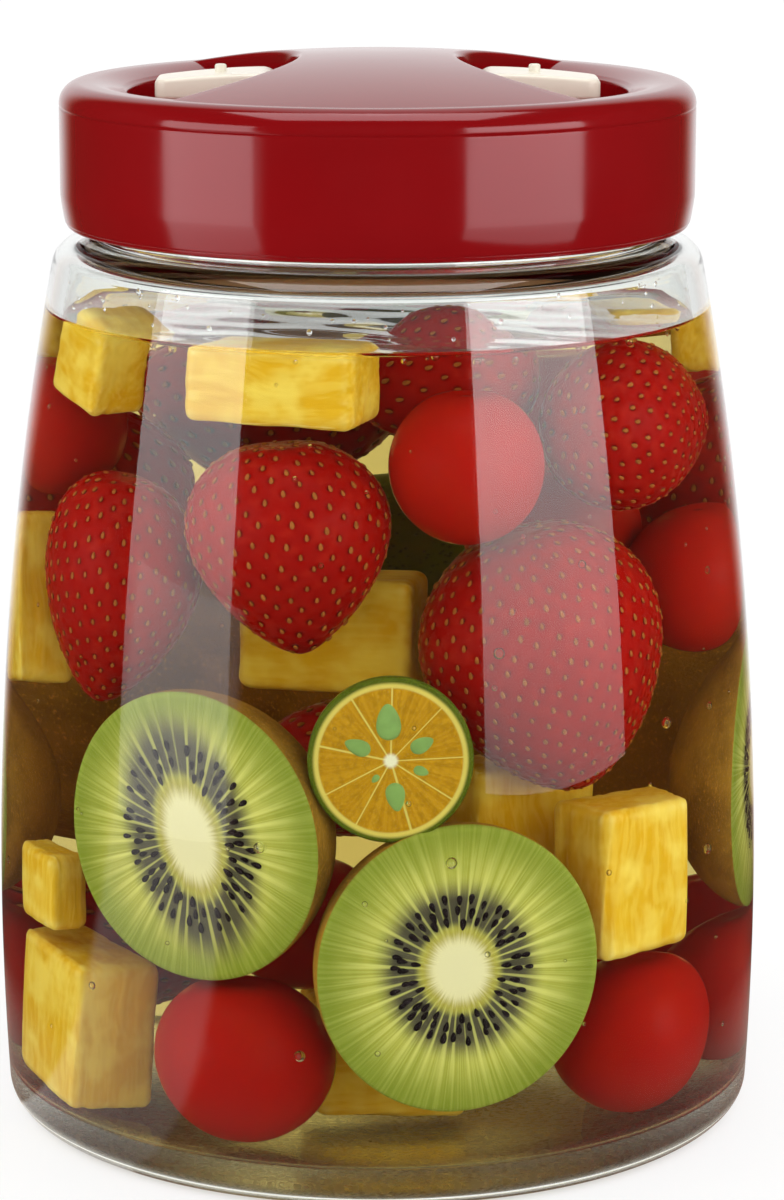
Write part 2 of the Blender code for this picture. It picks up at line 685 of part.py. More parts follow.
def inner_radius(height):
    """Radius of the glass's inner face at each height of an array, down to the floor's round."""
    reach = SIDE_ARC_RADIUS - WALL
    side = BELLY_RADIUS - SIDE_ARC_RADIUS + np.sqrt(reach**2 - (height - BELLY_HEIGHT) ** 2)
    floor_r, _ = blend_centre(WALL, FLOOR_ROUND, FLOOR + FLOOR_ROUND)
    below = np.clip(FLOOR + FLOOR_ROUND - height, 0.0, FLOOR_ROUND)
    corner = floor_r + np.sqrt(FLOOR_ROUND**2 - below**2)
    return np.where(below > 0.0, corner, side)


def against_glass(points, height):
    """Distance from the axis at which the points, set at a height, come within a gap of the glass."""
    low, high = 0.0, BELLY_RADIUS
    limit = inner_radius(points[:, 2] + height) - GLASS_GAP
    for _ in range(40):
        middle = (low + high) / 2
        reach = np.hypot(points[:, 0], points[:, 1] - middle)
        if np.all(reach <= limit):
            low = middle
        else:
            high = middle
    return low


def put_in_jar(name, mesh, material, spot):
    """Stands a fruit against the glass, and takes its mesh from filling units to metres.

    spot holds the azimuth, the level of the fruit's middle (0 at the floor, 1 at the top of the
    filling), and optionally lean (about the tangent), roll (about the outward line), yaw (about
    the upright) and how many units it stands in from the glass. The fruit's own outward side
    is -Y.
    """
    turn = Matrix.Rotation(math.radians(spot.get("lean", 0.0)), 4, "X")
    turn = Matrix.Rotation(math.radians(spot.get("yaw", 0.0)), 4, "Z") @ turn
    turn = turn @ Matrix.Rotation(math.radians(spot.get("roll", 0.0)), 4, "Y")
    mesh.transform(Matrix.Diagonal((UNIT_ACROSS, UNIT_ACROSS, UNIT_UP, 1.0)) @ turn)
    points = np.array([v.co[:] for v in mesh.vertices])
    height = FLOOR + spot["level"] * (FILL_TOP - FLOOR)
    distance = against_glass(points, height) - spot.get("inset", 0.0) * UNIT_ACROSS
    obj = place(name, mesh, material)
    around = Matrix.Rotation(math.radians(spot["azimuth"]), 4, "Z")
    obj.matrix_world = around @ Matrix.Translation((0.0, -distance, height))
    return obj


def ball_mesh(name, half_sizes, steps, rings):
    """A ball with its poles up and down, stretched to three half sizes."""
    mesh = bpy.data.meshes.new(name)
    shape = bmesh.new()
    bmesh.ops.create_uvsphere(shape, u_segments=steps, v_segments=rings, radius=1.0)
    bmesh.ops.scale(shape, vec=Vector(half_sizes), verts=shape.verts)
    for face in shape.faces:
        face.smooth = True
    shape.to_mesh(mesh)
    shape.free()
    return mesh


def half_fruit_mesh(name, face, depth, steps=18, rings=10):
    """Half a fruit: an oval cut face towards -Y, and a dome of the depth given behind it."""
    mesh = bpy.data.meshes.new(name)
    shape = bmesh.new()
    bmesh.ops.create_uvsphere(shape, u_segments=steps, v_segments=rings, radius=1.0)
    bmesh.ops.rotate(shape, matrix=Matrix.Rotation(math.pi / 2, 3, "X"), verts=shape.verts)
    cut = bmesh.ops.bisect_plane(
        shape,
        geom=shape.verts[:] + shape.edges[:] + shape.faces[:],
        dist=MERGE,
        plane_co=(0.0, 0.0, 0.0),
        plane_no=(0.0, -1.0, 0.0),
        clear_outer=True,
    )
    rim = [item for item in cut["geom_cut"] if isinstance(item, bmesh.types.BMEdge)]
    bmesh.ops.edgenet_fill(shape, edges=rim)
    bmesh.ops.scale(shape, vec=Vector((face[0], depth, face[1])), verts=shape.verts)
    bmesh.ops.recalc_face_normals(shape, faces=shape.faces)
    for item in shape.faces:
        item.smooth = len(item.verts) < 5
    shape.to_mesh(mesh)
    shape.free()
    return mesh


def berry_mesh(name, radius, length, flatness, taper):
    """A strawberry, tip down: broad shoulders with a hollow for the stalk, and a blunt tip.

    The outline is radius * sin(pi s)^0.55 * (1 - taper s), scaled to reach the radius, where s
    runs from the stalk to the tip.
    """
    rings = 8
    shares = np.linspace(0.0, 1.0, rings + 1)
    widths = np.sin(np.pi * shares) ** 0.55 * (1.0 - taper * shares)
    widths *= radius / widths.max()
    heights = length * (0.5 - shares)
    mesh = bpy.data.meshes.new(name)
    shape = bmesh.new()
    bmesh.ops.create_uvsphere(shape, u_segments=FRUIT_STEPS, v_segments=rings, radius=1.0)
    for vertex in shape.verts:
        polar = math.acos(max(-1.0, min(1.0, vertex.co.z)))
        ring = int(round(polar / math.pi * rings))
        flat = math.hypot(vertex.co.x, vertex.co.y)
        width = widths[ring] / flat if flat > MERGE else 0.0
        hollow = 0.1 * radius if ring == 0 else 0.0
        vertex.co = (
            vertex.co.x * width,
            vertex.co.y * width * flatness,
            heights[ring] - hollow,
        )
    for face in shape.faces:
        face.smooth = True
    shape.to_mesh(mesh)
    shape.free()
    return mesh


def chunk_mesh(name, width, depth, height, narrow_top=1.0, narrow_back=1.0, slant=0.0):
    """A pineapple chunk: a block that may narrow upwards and inwards, with a slanted top."""
    mesh = bpy.data.meshes.new(name)
    shape = bmesh.new()
    bmesh.ops.create_cube(shape, size=1.0)
    for vertex in shape.verts:
        x, y, z = vertex.co
        wide = width * (narrow_top if z > 0 else 1.0) * (narrow_back if y > 0 else 1.0)
        rise = slant * x if z > 0 else 0.0
        vertex.co = (x * wide, y * depth, z * height + rise)
    bmesh.ops.bevel(
        shape, geom=shape.edges[:], offset=CHUNK_EDGE, segments=1, profile=0.5, affect="EDGES"
    )
    shape.to_mesh(mesh)
    shape.free()
    return mesh


def kiwi(label, spot, face=KIWI_FACE, depth=KIWI_DEPTH):
    skin = principled(f"kiwi_{label}", (0.24, 0.36, 0.06), 0.45)
    name = f"kiwi_half_{label}"
    put_in_jar(name, half_fruit_mesh(name, face, depth), skin, spot)


def calamondin(label, spot):
    rind = principled(f"calamondin_{label}", (0.55, 0.36, 0.03), 0.40)
    name = f"calamondin_half_{label}"
    mesh = half_fruit_mesh(name, CALAMONDIN_FACE, CALAMONDIN_DEPTH, steps=16, rings=8)
    put_in_jar(name, mesh, rind, spot)


def tomato(label, radius, spot, tall=0.98):
    skin = principled(f"tomato_{label}", (0.50, 0.012, 0.008), 0.15)
    name = f"cherry_tomato_{label}"
    mesh = ball_mesh(name, (radius, radius, radius * tall), FRUIT_STEPS, 8)
    put_in_jar(name, mesh, skin, spot)


def strawberry(label, radius, length, spot, flatness=0.86, taper=0.42):
    skin = principled(f"strawberry_{label}", (0.52, 0.010, 0.012), 0.35)
    name = f"strawberry_{label}"
    put_in_jar(name, berry_mesh(name, radius, length, flatness, taper), skin, spot)


def pineapple(label, size, spot, **shape):
    flesh = principled(f"pineapple_{label}", (0.80, 0.52, 0.06), 0.45)
    name = f"pineapple_{label}"
    put_in_jar(name, chunk_mesh(name, *size, **shape), flesh, spot)


def fill_front():
    """The fruit that shows from the front, from the floor of the jar to the top."""
    tomato("front_low", 16.2, {"azimuth": -25.5, "level": 0.1139})
    tomato("right_low", 15.8, {"azimuth": 54.0, "level": 0.1132})
    pineapple(
        "left_low", (25.0, 22.0, 30.0), {"azimuth": -62.5, "level": 0.1186, "roll": 8.0}
    )
    kiwi("centre", {"azimuth": 12.8, "level": 0.2529, "lean": 1.0})
    kiwi("left", {"azimuth": -30.8, "level": 0.4047, "lean": 3.0})
    pineapple("right", (22.0, 20.0, 30.0), {"azimuth": 47.5, "level": 0.3322, "yaw": -8.0})
    calamondin("front", {"azimuth": 2.0, "level": 0.5200, "lean": 4.0})
    strawberry(
        "right", 22.5, 55.0, {"azimuth": 36.5, "level": 0.6169, "roll": -14.0}, taper=0.28
    )
    strawberry("left", 16.8, 47.0, {"azimuth": -58.0, "level": 0.6847, "roll": 9.0})
    strawberry("centre", 18.3, 42.0, {"azimuth": -18.0, "level": 0.7661, "roll": -7.0})
    strawberry("upper_right", 16.2, 43.0, {"azimuth": 60.0, "level": 0.8793, "roll": -82.0})
    tomato("front_high", 13.6, {"azimuth": 17.8, "level": 0.8576}, tall=1.04)
    pineapple(
        "top_left", (18.0, 15.0, 18.0), {"azimuth": -65.0, "level": 0.9580, "roll": 12.0}
    )
    pineapple("top_centre", (32.0, 18.0, 15.0), {"azimuth": -19.5, "level": 0.9593})
    pineapple("middle", (30.0, 14.0, 22.0), {"azimuth": -14.5, "level": 0.6285, "inset": 30.0})


def fill_sides():
    """The fruit at the left and right edges of the front view."""
    tomato("edge_right", 15.0, {"azimuth": 92.0, "level": 0.1064})
    tomato("edge_left", 14.5, {"azimuth": -100.0, "level": 0.1037})
    kiwi("right", {"azimuth": 91.0, "level": 0.3932, "lean": 2.0}, depth=21.0)
    kiwi("edge_left", {"azimuth": -98.0, "level": 0.3627, "lean": 2.0}, face=(22.0, 22.0), depth=20.0)
    pineapple("left", (15.0, 16.0, 34.0), {"azimuth": -84.5, "level": 0.6305, "roll": -14.0})
    pineapple("left_middle", (15.0, 12.0, 16.0), {"azimuth": -64.0, "level": 0.2915})
    tomato("right_high", 14.4, {"azimuth": 80.0, "level": 0.6644})
    tomato("left_high", 13.2, {"azimuth": -88.0, "level": 0.8475})
    pineapple("top_right", (24.0, 16.0, 14.0), {"azimuth": 98.0, "level": 0.9525, "roll": 8.0})


def fill_back():
    """The fruit behind, which closes the gaps between the front pieces."""
    tomato("back_low", 15.5, {"azimuth": 132.0, "level": 0.1092})
    pineapple("back_low", (28.0, 22.0, 28.0), {"azimuth": 168.0, "level": 0.1186})
    strawberry("back_low", 15.5, 42.0, {"azimuth": 214.0, "level": 0.1186, "roll": 84.0})
    kiwi("back_right", {"azimuth": 146.0, "level": 0.4034, "lean": 3.0})
    kiwi("back_left", {"azimuth": 206.0, "level": 0.4102, "lean": 3.0})
    calamondin("back", {"azimuth": 178.0, "level": 0.6102, "lean": 5.0})
    strawberry("back_right", 17.0, 44.0, {"azimuth": 119.0, "level": 0.7424, "roll": -10.0})
    strawberry("back_left", 17.0, 42.0, {"azimuth": 228.0, "level": 0.7153, "roll": 12.0})
    strawberry("back_centre", 16.0, 34.0, {"azimuth": 194.0, "level": 0.8203, "roll": -6.0})
    tomato("back_high", 13.8, {"azimuth": 157.0, "level": 0.8034})
    pineapple("back_top", (26.0, 16.0, 14.0), {"azimuth": 141.0, "level": 0.9593, "roll": 6.0})
    pineapple("back_edge", (22.0, 16.0, 14.0), {"azimuth": 240.0, "level": 0.9458, "roll": -6.0})


def fill_middle():
    """The fruit that lies between the front and the back, away from the glass."""
    pineapple("inner_low", (26.0, 20.0, 24.0), {"azimuth": 4.0, "level": 0.0847, "inset": 36.0})
    tomato("inner_low", 13.0, {"azimuth": -28.0, "level": 0.2522, "inset": 31.5})
    pineapple("inner_right", (24.0, 14.0, 26.0), {"azimuth": 40.5, "level": 0.3817, "inset": 28.3})
    strawberry(
        "inner", 13.5, 32.0, {"azimuth": -15.5, "level": 0.4495, "roll": 84.0, "inset": 34.0}
    )
    tomato("inner_high", 13.0, {"azimuth": 80.0, "level": 0.7220, "inset": 26.3})
    strawberry(
        "inner_top", 14.0, 34.0, {"azimuth": 24.0, "level": 0.9390, "roll": 80.0, "inset": 22.0}
    )


def make_hardware():
    make_jar()
    make_gasket()
    make_liner()
    make_cap_shell()
    make_vent_seats()
    for label, side in (("left", -1), ("right", 1)):
        make_lever(label, side)
        make_pin(label, side)
        make_stopper(label, side)


make_hardware()
fill_front()
fill_sides()
fill_back()
fill_middle()
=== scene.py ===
"""Finished look of a two-litre fermentation jar with a red screw lid and a filling of cut fruit.

Metres, +Z up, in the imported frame. Azimuths are degrees about the jar's axis: 0 faces -Y, which
is the front, and positive ones turn towards +X. Shapes are worked out with numpy in a piece's own
axes and put in place in the mesh, so every object sits at the origin.
"""

import math

import bpy
import numpy as np
from bpy.props import FloatProperty, FloatVectorProperty, IntProperty, PointerProperty
from mathutils import Matrix, Vector
from mathutils.bvhtree import BVHTree


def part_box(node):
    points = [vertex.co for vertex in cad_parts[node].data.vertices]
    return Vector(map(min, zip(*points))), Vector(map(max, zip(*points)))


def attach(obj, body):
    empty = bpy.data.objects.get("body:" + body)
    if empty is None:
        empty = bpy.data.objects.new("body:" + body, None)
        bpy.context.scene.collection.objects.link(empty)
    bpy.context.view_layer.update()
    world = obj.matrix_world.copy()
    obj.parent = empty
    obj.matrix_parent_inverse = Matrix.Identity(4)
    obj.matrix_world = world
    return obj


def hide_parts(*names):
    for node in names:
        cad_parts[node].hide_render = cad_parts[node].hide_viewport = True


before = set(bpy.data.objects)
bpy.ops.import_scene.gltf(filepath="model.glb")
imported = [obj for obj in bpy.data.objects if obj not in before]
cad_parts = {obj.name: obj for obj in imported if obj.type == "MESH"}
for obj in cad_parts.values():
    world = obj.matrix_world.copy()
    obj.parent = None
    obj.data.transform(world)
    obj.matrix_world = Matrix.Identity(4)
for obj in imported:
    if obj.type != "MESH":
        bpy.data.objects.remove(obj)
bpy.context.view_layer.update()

bl_info = {
    "name": "Fermentation jar",
    "version": (1, 0, 0),
    "blender": (4, 5, 0),
    "location": "View3D > Sidebar > Jar",
    "description": "Finished surfaces for a fermentation jar and its filling of cut fruit",
    "category": "Object",
}

SHARP_ANGLE = math.radians(38)
WET_GLOSS = 0.03
WHITE = (1.0, 1.0, 1.0)

# Glass body, as in the frame
BELLY_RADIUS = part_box("glass_jar")[1][0]
BELLY_HEIGHT = 0.040
SIDE_ARC = 0.65606
WALL = 0.0036
FLOOR = 0.0065
FLOOR_ROUND = 0.005
HEEL_ROUND = 0.005
PUNT_RADIUS = 0.058
PUNT_HEIGHT = 0.0022
FROSTED_HEIGHT = 0.0006
SHOULDER_TOP = 0.1687
SHOULDER_ROUND = 0.0055
NECK_RADIUS = 0.0535
MOUTH_RADIUS = 0.0502
NECK_FILLET = 0.0012
LIP_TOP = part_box("glass_jar")[1][2]
LIP_ROUND = 0.0012
LIQUID_TOP = 0.1540
MENISCUS_RISE = 0.0014
MENISCUS_LENGTH = 0.0013
RIM_WET = LIQUID_TOP + MENISCUS_RISE
WALL_OVERLAP = 0.0003

# Two-start thread
THREAD_LEAD = 0.012
JAR_THREAD = {"bead": 0.0014, "sink": 0.0002, "low": 0.1750, "first": 0.0, "turn": 240.0}
LINER_THREAD = {"bead": 0.0011, "sink": 0.0002, "low": 0.1746, "first": 60.0, "turn": 150.0}

# Lid, as in the frame
LID_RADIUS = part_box("cap_shell")[1][0]
LID_INSIDE = 0.0570
LID_BOTTOM = 0.1710
LID_UNDERSIDE = 0.1905
RECESS_FLOOR = 0.1920
RECESS_RADIUS = 0.0470
RIM_TOP = 0.1980
EDGE_ROUND = 0.0040
DISH_WIDTH = 0.0070
DISH_DEPTH = 0.0017
TUCK = 0.0010
TUCK_HEIGHT = 0.0064
GRIP_REACH = 0.0545
GRIP_RISE = 0.0051
GRIP_CORNER = 0.03947
SCOOP_OFFSET = 0.0608
SCOOP_RADIUS = 0.0458
LINER_RADIUS = 0.0567
LINER_INSIDE = 0.0551
LINER_BOTTOM = 0.1720
LINER_UNDERSIDE = 0.1887
LINER_TOP = 0.1902
PLUG_RADIUS = 0.0498
PLUG_INSIDE = 0.0484
PLUG_BOTTOM = 0.1842
EASE = 0.0003
SUNK = 0.0004

# Levers, their pins and stoppers
PORT_OFFSET = 0.0295
PORT_RADIUS = 0.0052
PIVOT_OFFSET = 0.0218
PIVOT_HEIGHT = 0.1965
KNUCKLE_RADIUS = 0.0033
LEVER_REACH = 0.0199
LEVER_UNDERSIDE = 0.1948
LEVER_FALL = 0.0014
LEVER_HALF_WIDTH = 0.0085
LEVER_END_HALF_WIDTH = 0.0066
LEVER_PLAN_ROUND = 0.0024
EAR_THICKNESS = 0.0020
EAR_RADIUS = 0.0024

# Facets of the fruit solids in the frame, whose widest places lie between two facets' corners
BALL_FACETS = 14
HALF_FACETS = 18

# How each fruit is turned: azimuth, lean, roll and yaw in degrees, 0 where left out
TURNS_OF_KIND = {
    "cherry_tomato": {
        "front_low": (-25.5,), "right_low": (54.0,), "front_high": (17.8,), "edge_right": (92.0,),
        "edge_left": (-100.0,), "right_high": (80.0,), "left_high": (-88.0,), "back_low": (132.0,),
        "back_high": (157.0,), "inner_low": (-28.0,), "inner_high": (80.0,),
    },
    "pineapple": {
        "left_low": (-62.5, 0, 8.0), "right": (47.5, 0, 0, -8.0), "top_left": (-65.0, 0, 12.0),
        "top_centre": (-19.5,), "middle": (-14.5,), "left": (-84.5, 0, -14.0),
        "left_middle": (-64.0,), "top_right": (98.0, 0, 8.0), "back_low": (168.0,),
        "back_top": (141.0, 0, 6.0), "back_edge": (240.0, 0, -6.0), "inner_low": (4.0,),
        "inner_right": (40.5,),
    },
    "kiwi_half": {
        "centre": (12.8, 1.0), "left": (-30.8, 3.0), "right": (91.0, 2.0),
        "edge_left": (-98.0, 2.0), "back_right": (146.0, 3.0), "back_left": (206.0, 3.0),
    },
    "calamondin_half": {"front": (2.0, 4.0), "back": (178.0, 5.0)},
    "strawberry": {
        "right": (36.5, 0, -14.0), "left": (-58.0, 0, 9.0), "centre": (-18.0, 0, -7.0),
        "upper_right": (60.0, 0, -82.0), "back_low": (214.0, 0, 84.0),
        "back_right": (119.0, 0, -10.0), "back_left": (228.0, 0, 12.0),
        "back_centre": (194.0, 0, -6.0), "inner": (-15.5, 0, 84.0), "inner_top": (24.0, 0, 80.0),
    },
}
TURNS = {
    f"{kind}_{place}": turn
    for kind, places in TURNS_OF_KIND.items()
    for place, turn in places.items()
}

# Kiwi cores: half width and half height as shares of the face, and their tilt in degrees
CORES = {
    "kiwi_half_left": (0.20, 0.33, 16.0),
    "kiwi_half_back_left": (0.21, 0.31, -12.0),
    "kiwi_half_edge_left": (0.24, 0.28, 5.0),
}
ROUND_CORE = (0.215, 0.235, 20.0)
# Kiwi seeds: how far the core's oval is grown for each ring, and the seeds in it
SEED_RINGS = ((1.46, 21), (1.78, 28), (2.12, 31))

# Calamondin pips: place across and up as shares of the face, and their length as a share
PIPS = np.array([
    (-0.03, 0.47, 0.24), (-0.40, 0.17, 0.17), (0.38, 0.19, 0.16), (0.37, -0.13, 0.11),
    (0.06, -0.44, 0.19), (-0.19, -0.22, 0.08),
])


def linear(*screen):
    """A colour as a screen shows it, 0 to 255, in linear light."""
    shares = np.array(screen) / 255.0
    light = np.where(shares <= 0.04045, shares / 12.92, ((shares + 0.055) / 1.055) ** 2.4)
    return tuple(float(value) for value in light)


def tint(name, description, *screen):
    return FloatVectorProperty(
        name=name, description=description, default=linear(*screen), subtype="COLOR", size=3,
        min=0.0, max=1.0,
    )


def length(name, description, default, smallest=0.0, largest=0.05):
    return FloatProperty(
        name=name, description=description, default=default, min=smallest, max=largest,
        subtype="DISTANCE", unit="LENGTH", precision=5,
    )


def factor(name, description, default, largest=1.0, smallest=0.0):
    return FloatProperty(
        name=name, description=description, default=default, min=smallest, max=largest,
        subtype="FACTOR",
    )


def number(name, description, default, smallest, largest):
    return IntProperty(
        name=name, description=description, default=default, min=smallest, max=largest
    )


class JarGlassSettings(bpy.types.PropertyGroup):
    glass: tint("Glass", "Tint of the clear glass", 250, 253, 251)
    foot: tint("Foot", "Tint of the glass at its rough underside", 206, 186, 104)
    refraction: factor("Refraction", "Refractive index of the glass", 1.5, 2.0, 1.0)
    facets: number("Facets", "Columns of faces round the glass", 240, 48, 480)


class JarLidSettings(bpy.types.PropertyGroup):
    red: tint("Red plastic", "Glossy shell of the lid", 132, 9, 14)
    cream: tint("Cream plastic", "Levers", 247, 238, 220)
    liner: tint("Liner plastic", "Threaded liner inside the shell", 222, 186, 142)
    silicone: tint("Silicone", "Sealing ring, collars and stoppers", 236, 231, 214)
    steel: tint("Pin steel", "Hinge pins of the levers", 190, 190, 190)
    grip_edge: length("Grip edge", "Radius of the grip's long edges", 0.0011)
    lever_edge: length("Lever edge", "Radius of the levers' edges", 0.0008)
    parting: length("Parting line", "Depth of the line under the lid's rounded edge", 0.00016)


class JarFruitSettings(bpy.types.PropertyGroup):
    tomato: tint("Tomato skin", "Ripe skin of the cherry tomatoes", 168, 16, 7)
    berry: tint("Strawberry flesh", "Red of the strawberries", 148, 7, 5)
    achene: tint("Strawberry seeds", "Tan seeds in their dimples", 176, 106, 48)
    pineapple: tint("Pineapple flesh", "Yellow of the pineapple", 230, 184, 40)
    fibre: tint("Pineapple fibre", "Pale streaks in the pineapple", 250, 224, 104)
    kiwi: tint("Kiwi flesh", "Green of the cut kiwis", 188, 188, 84)
    kiwi_core: tint("Kiwi core", "Cream middle of the cut kiwis", 246, 240, 198)
    kiwi_skin: tint("Kiwi skin", "Brown skin with short hairs", 176, 132, 44)
    kiwi_seed: tint("Kiwi seeds", "Black seeds round the core", 26, 20, 24)
    citrus: tint("Calamondin flesh", "Amber of the segments", 186, 136, 22)
    membrane: tint("Calamondin membranes", "Pale walls and pith", 220, 202, 100)
    rind: tint("Calamondin rind", "Green rind with darker flecks", 92, 106, 24)
    pip: tint("Calamondin pips", "Pale green pips", 138, 176, 98)
    dimple: length("Dimples", "Depth of the strawberries' dimples", 0.00036, largest=0.002)


class JarLiquidSettings(bpy.types.PropertyGroup):
    depth: tint("Depth tint", "What is left of white light in deep liquid", 234, 218, 112)
    density: factor("Depth", "How fast the liquid takes up colour", 19.0, 200.0)
    refraction: factor("Refraction", "Refractive index of the liquid", 1.36, 2.0, 1.0)
    bubbles: number("Bubbles", "Small bubbles at the glass and between the fruit", 240, 1, 400)
    beads: number("Beads", "Drops on the dry glass over the surface", 90, 1, 400)


class JarStageSettings(bpy.types.PropertyGroup):
    floor: tint("Floor", "Pale floor", 246, 246, 246)
    paper: factor("Paper white", "Share of the floor that the camera sees as white paper", 0.72)
    ambient: factor("Ambient light", "Even light from all round", 0.52, 4.0)
    dim: factor("Dim gloss", "What glossy surfaces mirror, but for the rear sector", 0.07)
    behind: factor("Rear gloss", "What glossy surfaces mirror straight behind the jar", 1.0)
    cards: factor("Side softboxes", "Brightness of the two upright softboxes", 3.8, 20.0)
    top: factor("Top softbox", "Brightness of the softbox overhead in the gloss", 4.3, 20.0)
    overhead: factor("Top light", "Brightness of the light from overhead", 1.0, 20.0)
    fill: factor("Fill light", "Brightness of the soft lamps on all four sides", 2.2, 20.0)
    reach: length("Softbox distance", "From the jar's axis to the softboxes", 0.38, 0.2, 2.0)
    distance: length("Camera distance", "From the jar's axis to the camera", 0.765, 0.2, 5.0)
    lens: FloatProperty(
        name="Lens", description="Focal length for a 36 mm high picture", default=121.5, min=10.0,
        subtype="DISTANCE_CAMERA",
    )


# Shapes ------------------------------------------------------------------------------------------


class Shape:
    """Points and faces of a piece before they become a mesh.

    faces is a list of whole arrays of corners, and finish holds the material number of each
    array. own holds the place of each point in the piece's own axes, which patterns follow.
    """

    def __init__(self, points, faces, finish=0, own=None):
        self.points = np.asarray(points, dtype=float)
        self.faces = [np.asarray(block, dtype=int) for block in faces if len(block)]
        self.finish = [finish] * len(self.faces) if np.isscalar(finish) else list(finish)
        self.own = self.points.copy() if own is None else np.asarray(own, dtype=float)

    def placed(self, move, turn=np.eye(3)):
        """The shape turned by a 3 by 3 array and then moved. Its own coordinates stay."""
        return Shape(self.points @ turn.T + np.asarray(move), self.faces, self.finish, self.own)


def joined(shapes):
    """One shape that holds all of these, each one still closed by itself."""
    faces, finish, count = [], [], 0
    for shape in shapes:
        faces += [block + count for block in shape.faces]
        finish += shape.finish
        count += len(shape.points)
    points = np.concatenate([shape.points for shape in shapes])
    return Shape(points, faces, finish, np.concatenate([shape.own for shape in shapes]))


def outward(shape):
    """The shape with its faces turned outwards: they are reversed if its volume is negative."""
    volume = 0.0
    for block in shape.faces:
        for k in range(1, block.shape[1] - 1):
            a, b, c = (shape.points[block[:, i]] for i in (0, k, k + 1))
            volume += np.einsum("ij,ij->i", a, np.cross(b, c)).sum()
    if volume < 0:
        shape.faces = [block[:, ::-1] for block in shape.faces]
    return shape


def stacked(x, y, z):
    """Points from their coordinates, each one repeated along the rows or columns it lacks."""
    return np.stack(np.broadcast_arrays(x, y, z), axis=-1)


def unit(vectors):
    return vectors / np.linalg.norm(vectors, axis=1, keepdims=True)


def around(steps):
    """Angles round a full circle, as one row."""
    return np.linspace(0.0, 2 * math.pi, steps, endpoint=False)[None, :]


def closed_rows(rows, first=None, last=None):
    """A closed skin over rows of points, each row a loop; first and last are points that cap it.

    rows is an array of rows by columns by 3. With no caps the last row joins the first one.
    """
    count, columns = rows.shape[:2]
    points = rows.reshape(-1, 3)
    across = np.arange(columns)
    after = (across + 1) % columns
    up = np.arange(count if first is None else count - 1)[:, None]
    low, high = up * columns, (up + 1) % count * columns
    quads = np.stack([low + across, low + after, high + after, high + across], axis=-1)
    faces = [quads.reshape(-1, 4)]
    if first is not None:
        pole, high = len(points), (count - 1) * columns
        points = np.concatenate([points, [first, last]])
        faces.append(np.column_stack([np.full(columns, pole), after, across]))
        faces.append(np.column_stack([high + across, high + after, np.full(columns, pole + 1)]))
    return Shape(points, faces)


def without_repeats(profile):
    """The profile's points, less those that repeat the one before."""
    profile = np.asarray(profile, dtype=float)
    steps = np.linalg.norm(np.diff(profile, axis=0), axis=1)
    return profile[np.concatenate([[True], steps > 1e-7])]


def lathe(profile, steps, ring=False, standing=None):
    """A profile of radius and height turned about the upright axis.

    The point at angle t is (r cos t, r sin t, z). The profile runs from the underside outwards
    and up, so that faces point outwards. standing(angle, radius, height) may add to the radius.
    A ring has no ends; any other profile starts and ends on the axis.
    """
    profile = without_repeats(profile)
    body = profile if ring else profile[1:-1]
    angle, radius, height = around(steps), body[:, :1], body[:, 1:]
    if standing is not None:
        radius = radius + standing(angle, radius, height)
    rows = stacked(radius * np.cos(angle), radius * np.sin(angle), height)
    if ring:
        return closed_rows(rows)
    return closed_rows(rows, (0.0, 0.0, profile[0, 1]), (0.0, 0.0, profile[-1, 1]))


def arc(centre_r, centre_z, radius, start, end, count):
    """Points of a profile along a circle, from one angle in degrees to another."""
    turn = np.radians(np.linspace(start, end, count + 1))
    return np.column_stack([centre_r + radius * np.cos(turn), centre_z + radius * np.sin(turn)])


def corner(radius, height, ease, start, end, count):
    """Points of a quarter circle that rounds the corner at a radius and height."""
    middle = math.radians((start + end) / 2)
    out, up = math.copysign(ease, math.cos(middle)), math.copysign(ease, math.sin(middle))
    return arc(radius - out, height - up, ease, start, end, count)


def straight(first, last, count):
    """Points of a profile along a line between two places, each a radius and a height."""
    return np.linspace(first, last, count + 1)


def ripple(points, wavelength, seed, waves=6):
    """A smooth wavy number between about -1 and 1 at each point: the mean of some sines.

    Each sine runs in a direction of its own, with a wavelength near the one given.
    """
    rng = np.random.default_rng(seed)
    directions = unit(rng.normal(size=(waves, 3)))
    pace = 2 * math.pi / (wavelength * rng.uniform(0.7, 1.5, waves))
    start = rng.uniform(0.0, 2 * math.pi, waves)
    return np.sin((points @ directions.T) * pace + start).mean(axis=1) * math.sqrt(waves) / 1.6


def turned_frame(azimuth, lean=0.0, roll=0.0, yaw=0.0):
    """The 3 by 3 turn of a fruit: rolled about its outward line, leaned, yawed, then set round."""
    turn = Matrix.Rotation(math.radians(azimuth + yaw), 3, "Z")
    turn = turn @ Matrix.Rotation(math.radians(lean), 3, "X")
    return np.array(turn @ Matrix.Rotation(math.radians(roll), 3, "Y"))


def node_points(node):
    """A CAD node's points in the frame, as an array."""
    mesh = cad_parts[node].data
    points = np.empty(len(mesh.vertices) * 3)
    mesh.vertices.foreach_get("co", points)
    return points.reshape(-1, 3)


def seat_of(node):
    """A fruit's turn, its lowest and highest corners in its own axes, both as in the frame."""
    turn = turned_frame(*TURNS[node])
    own = node_points(node) @ turn
    return turn, own.min(axis=0), own.max(axis=0)


def seed_of(node):
    """A number for the random draws of one fruit, from the letters of its name."""
    return sum(ord(letter) for letter in node)


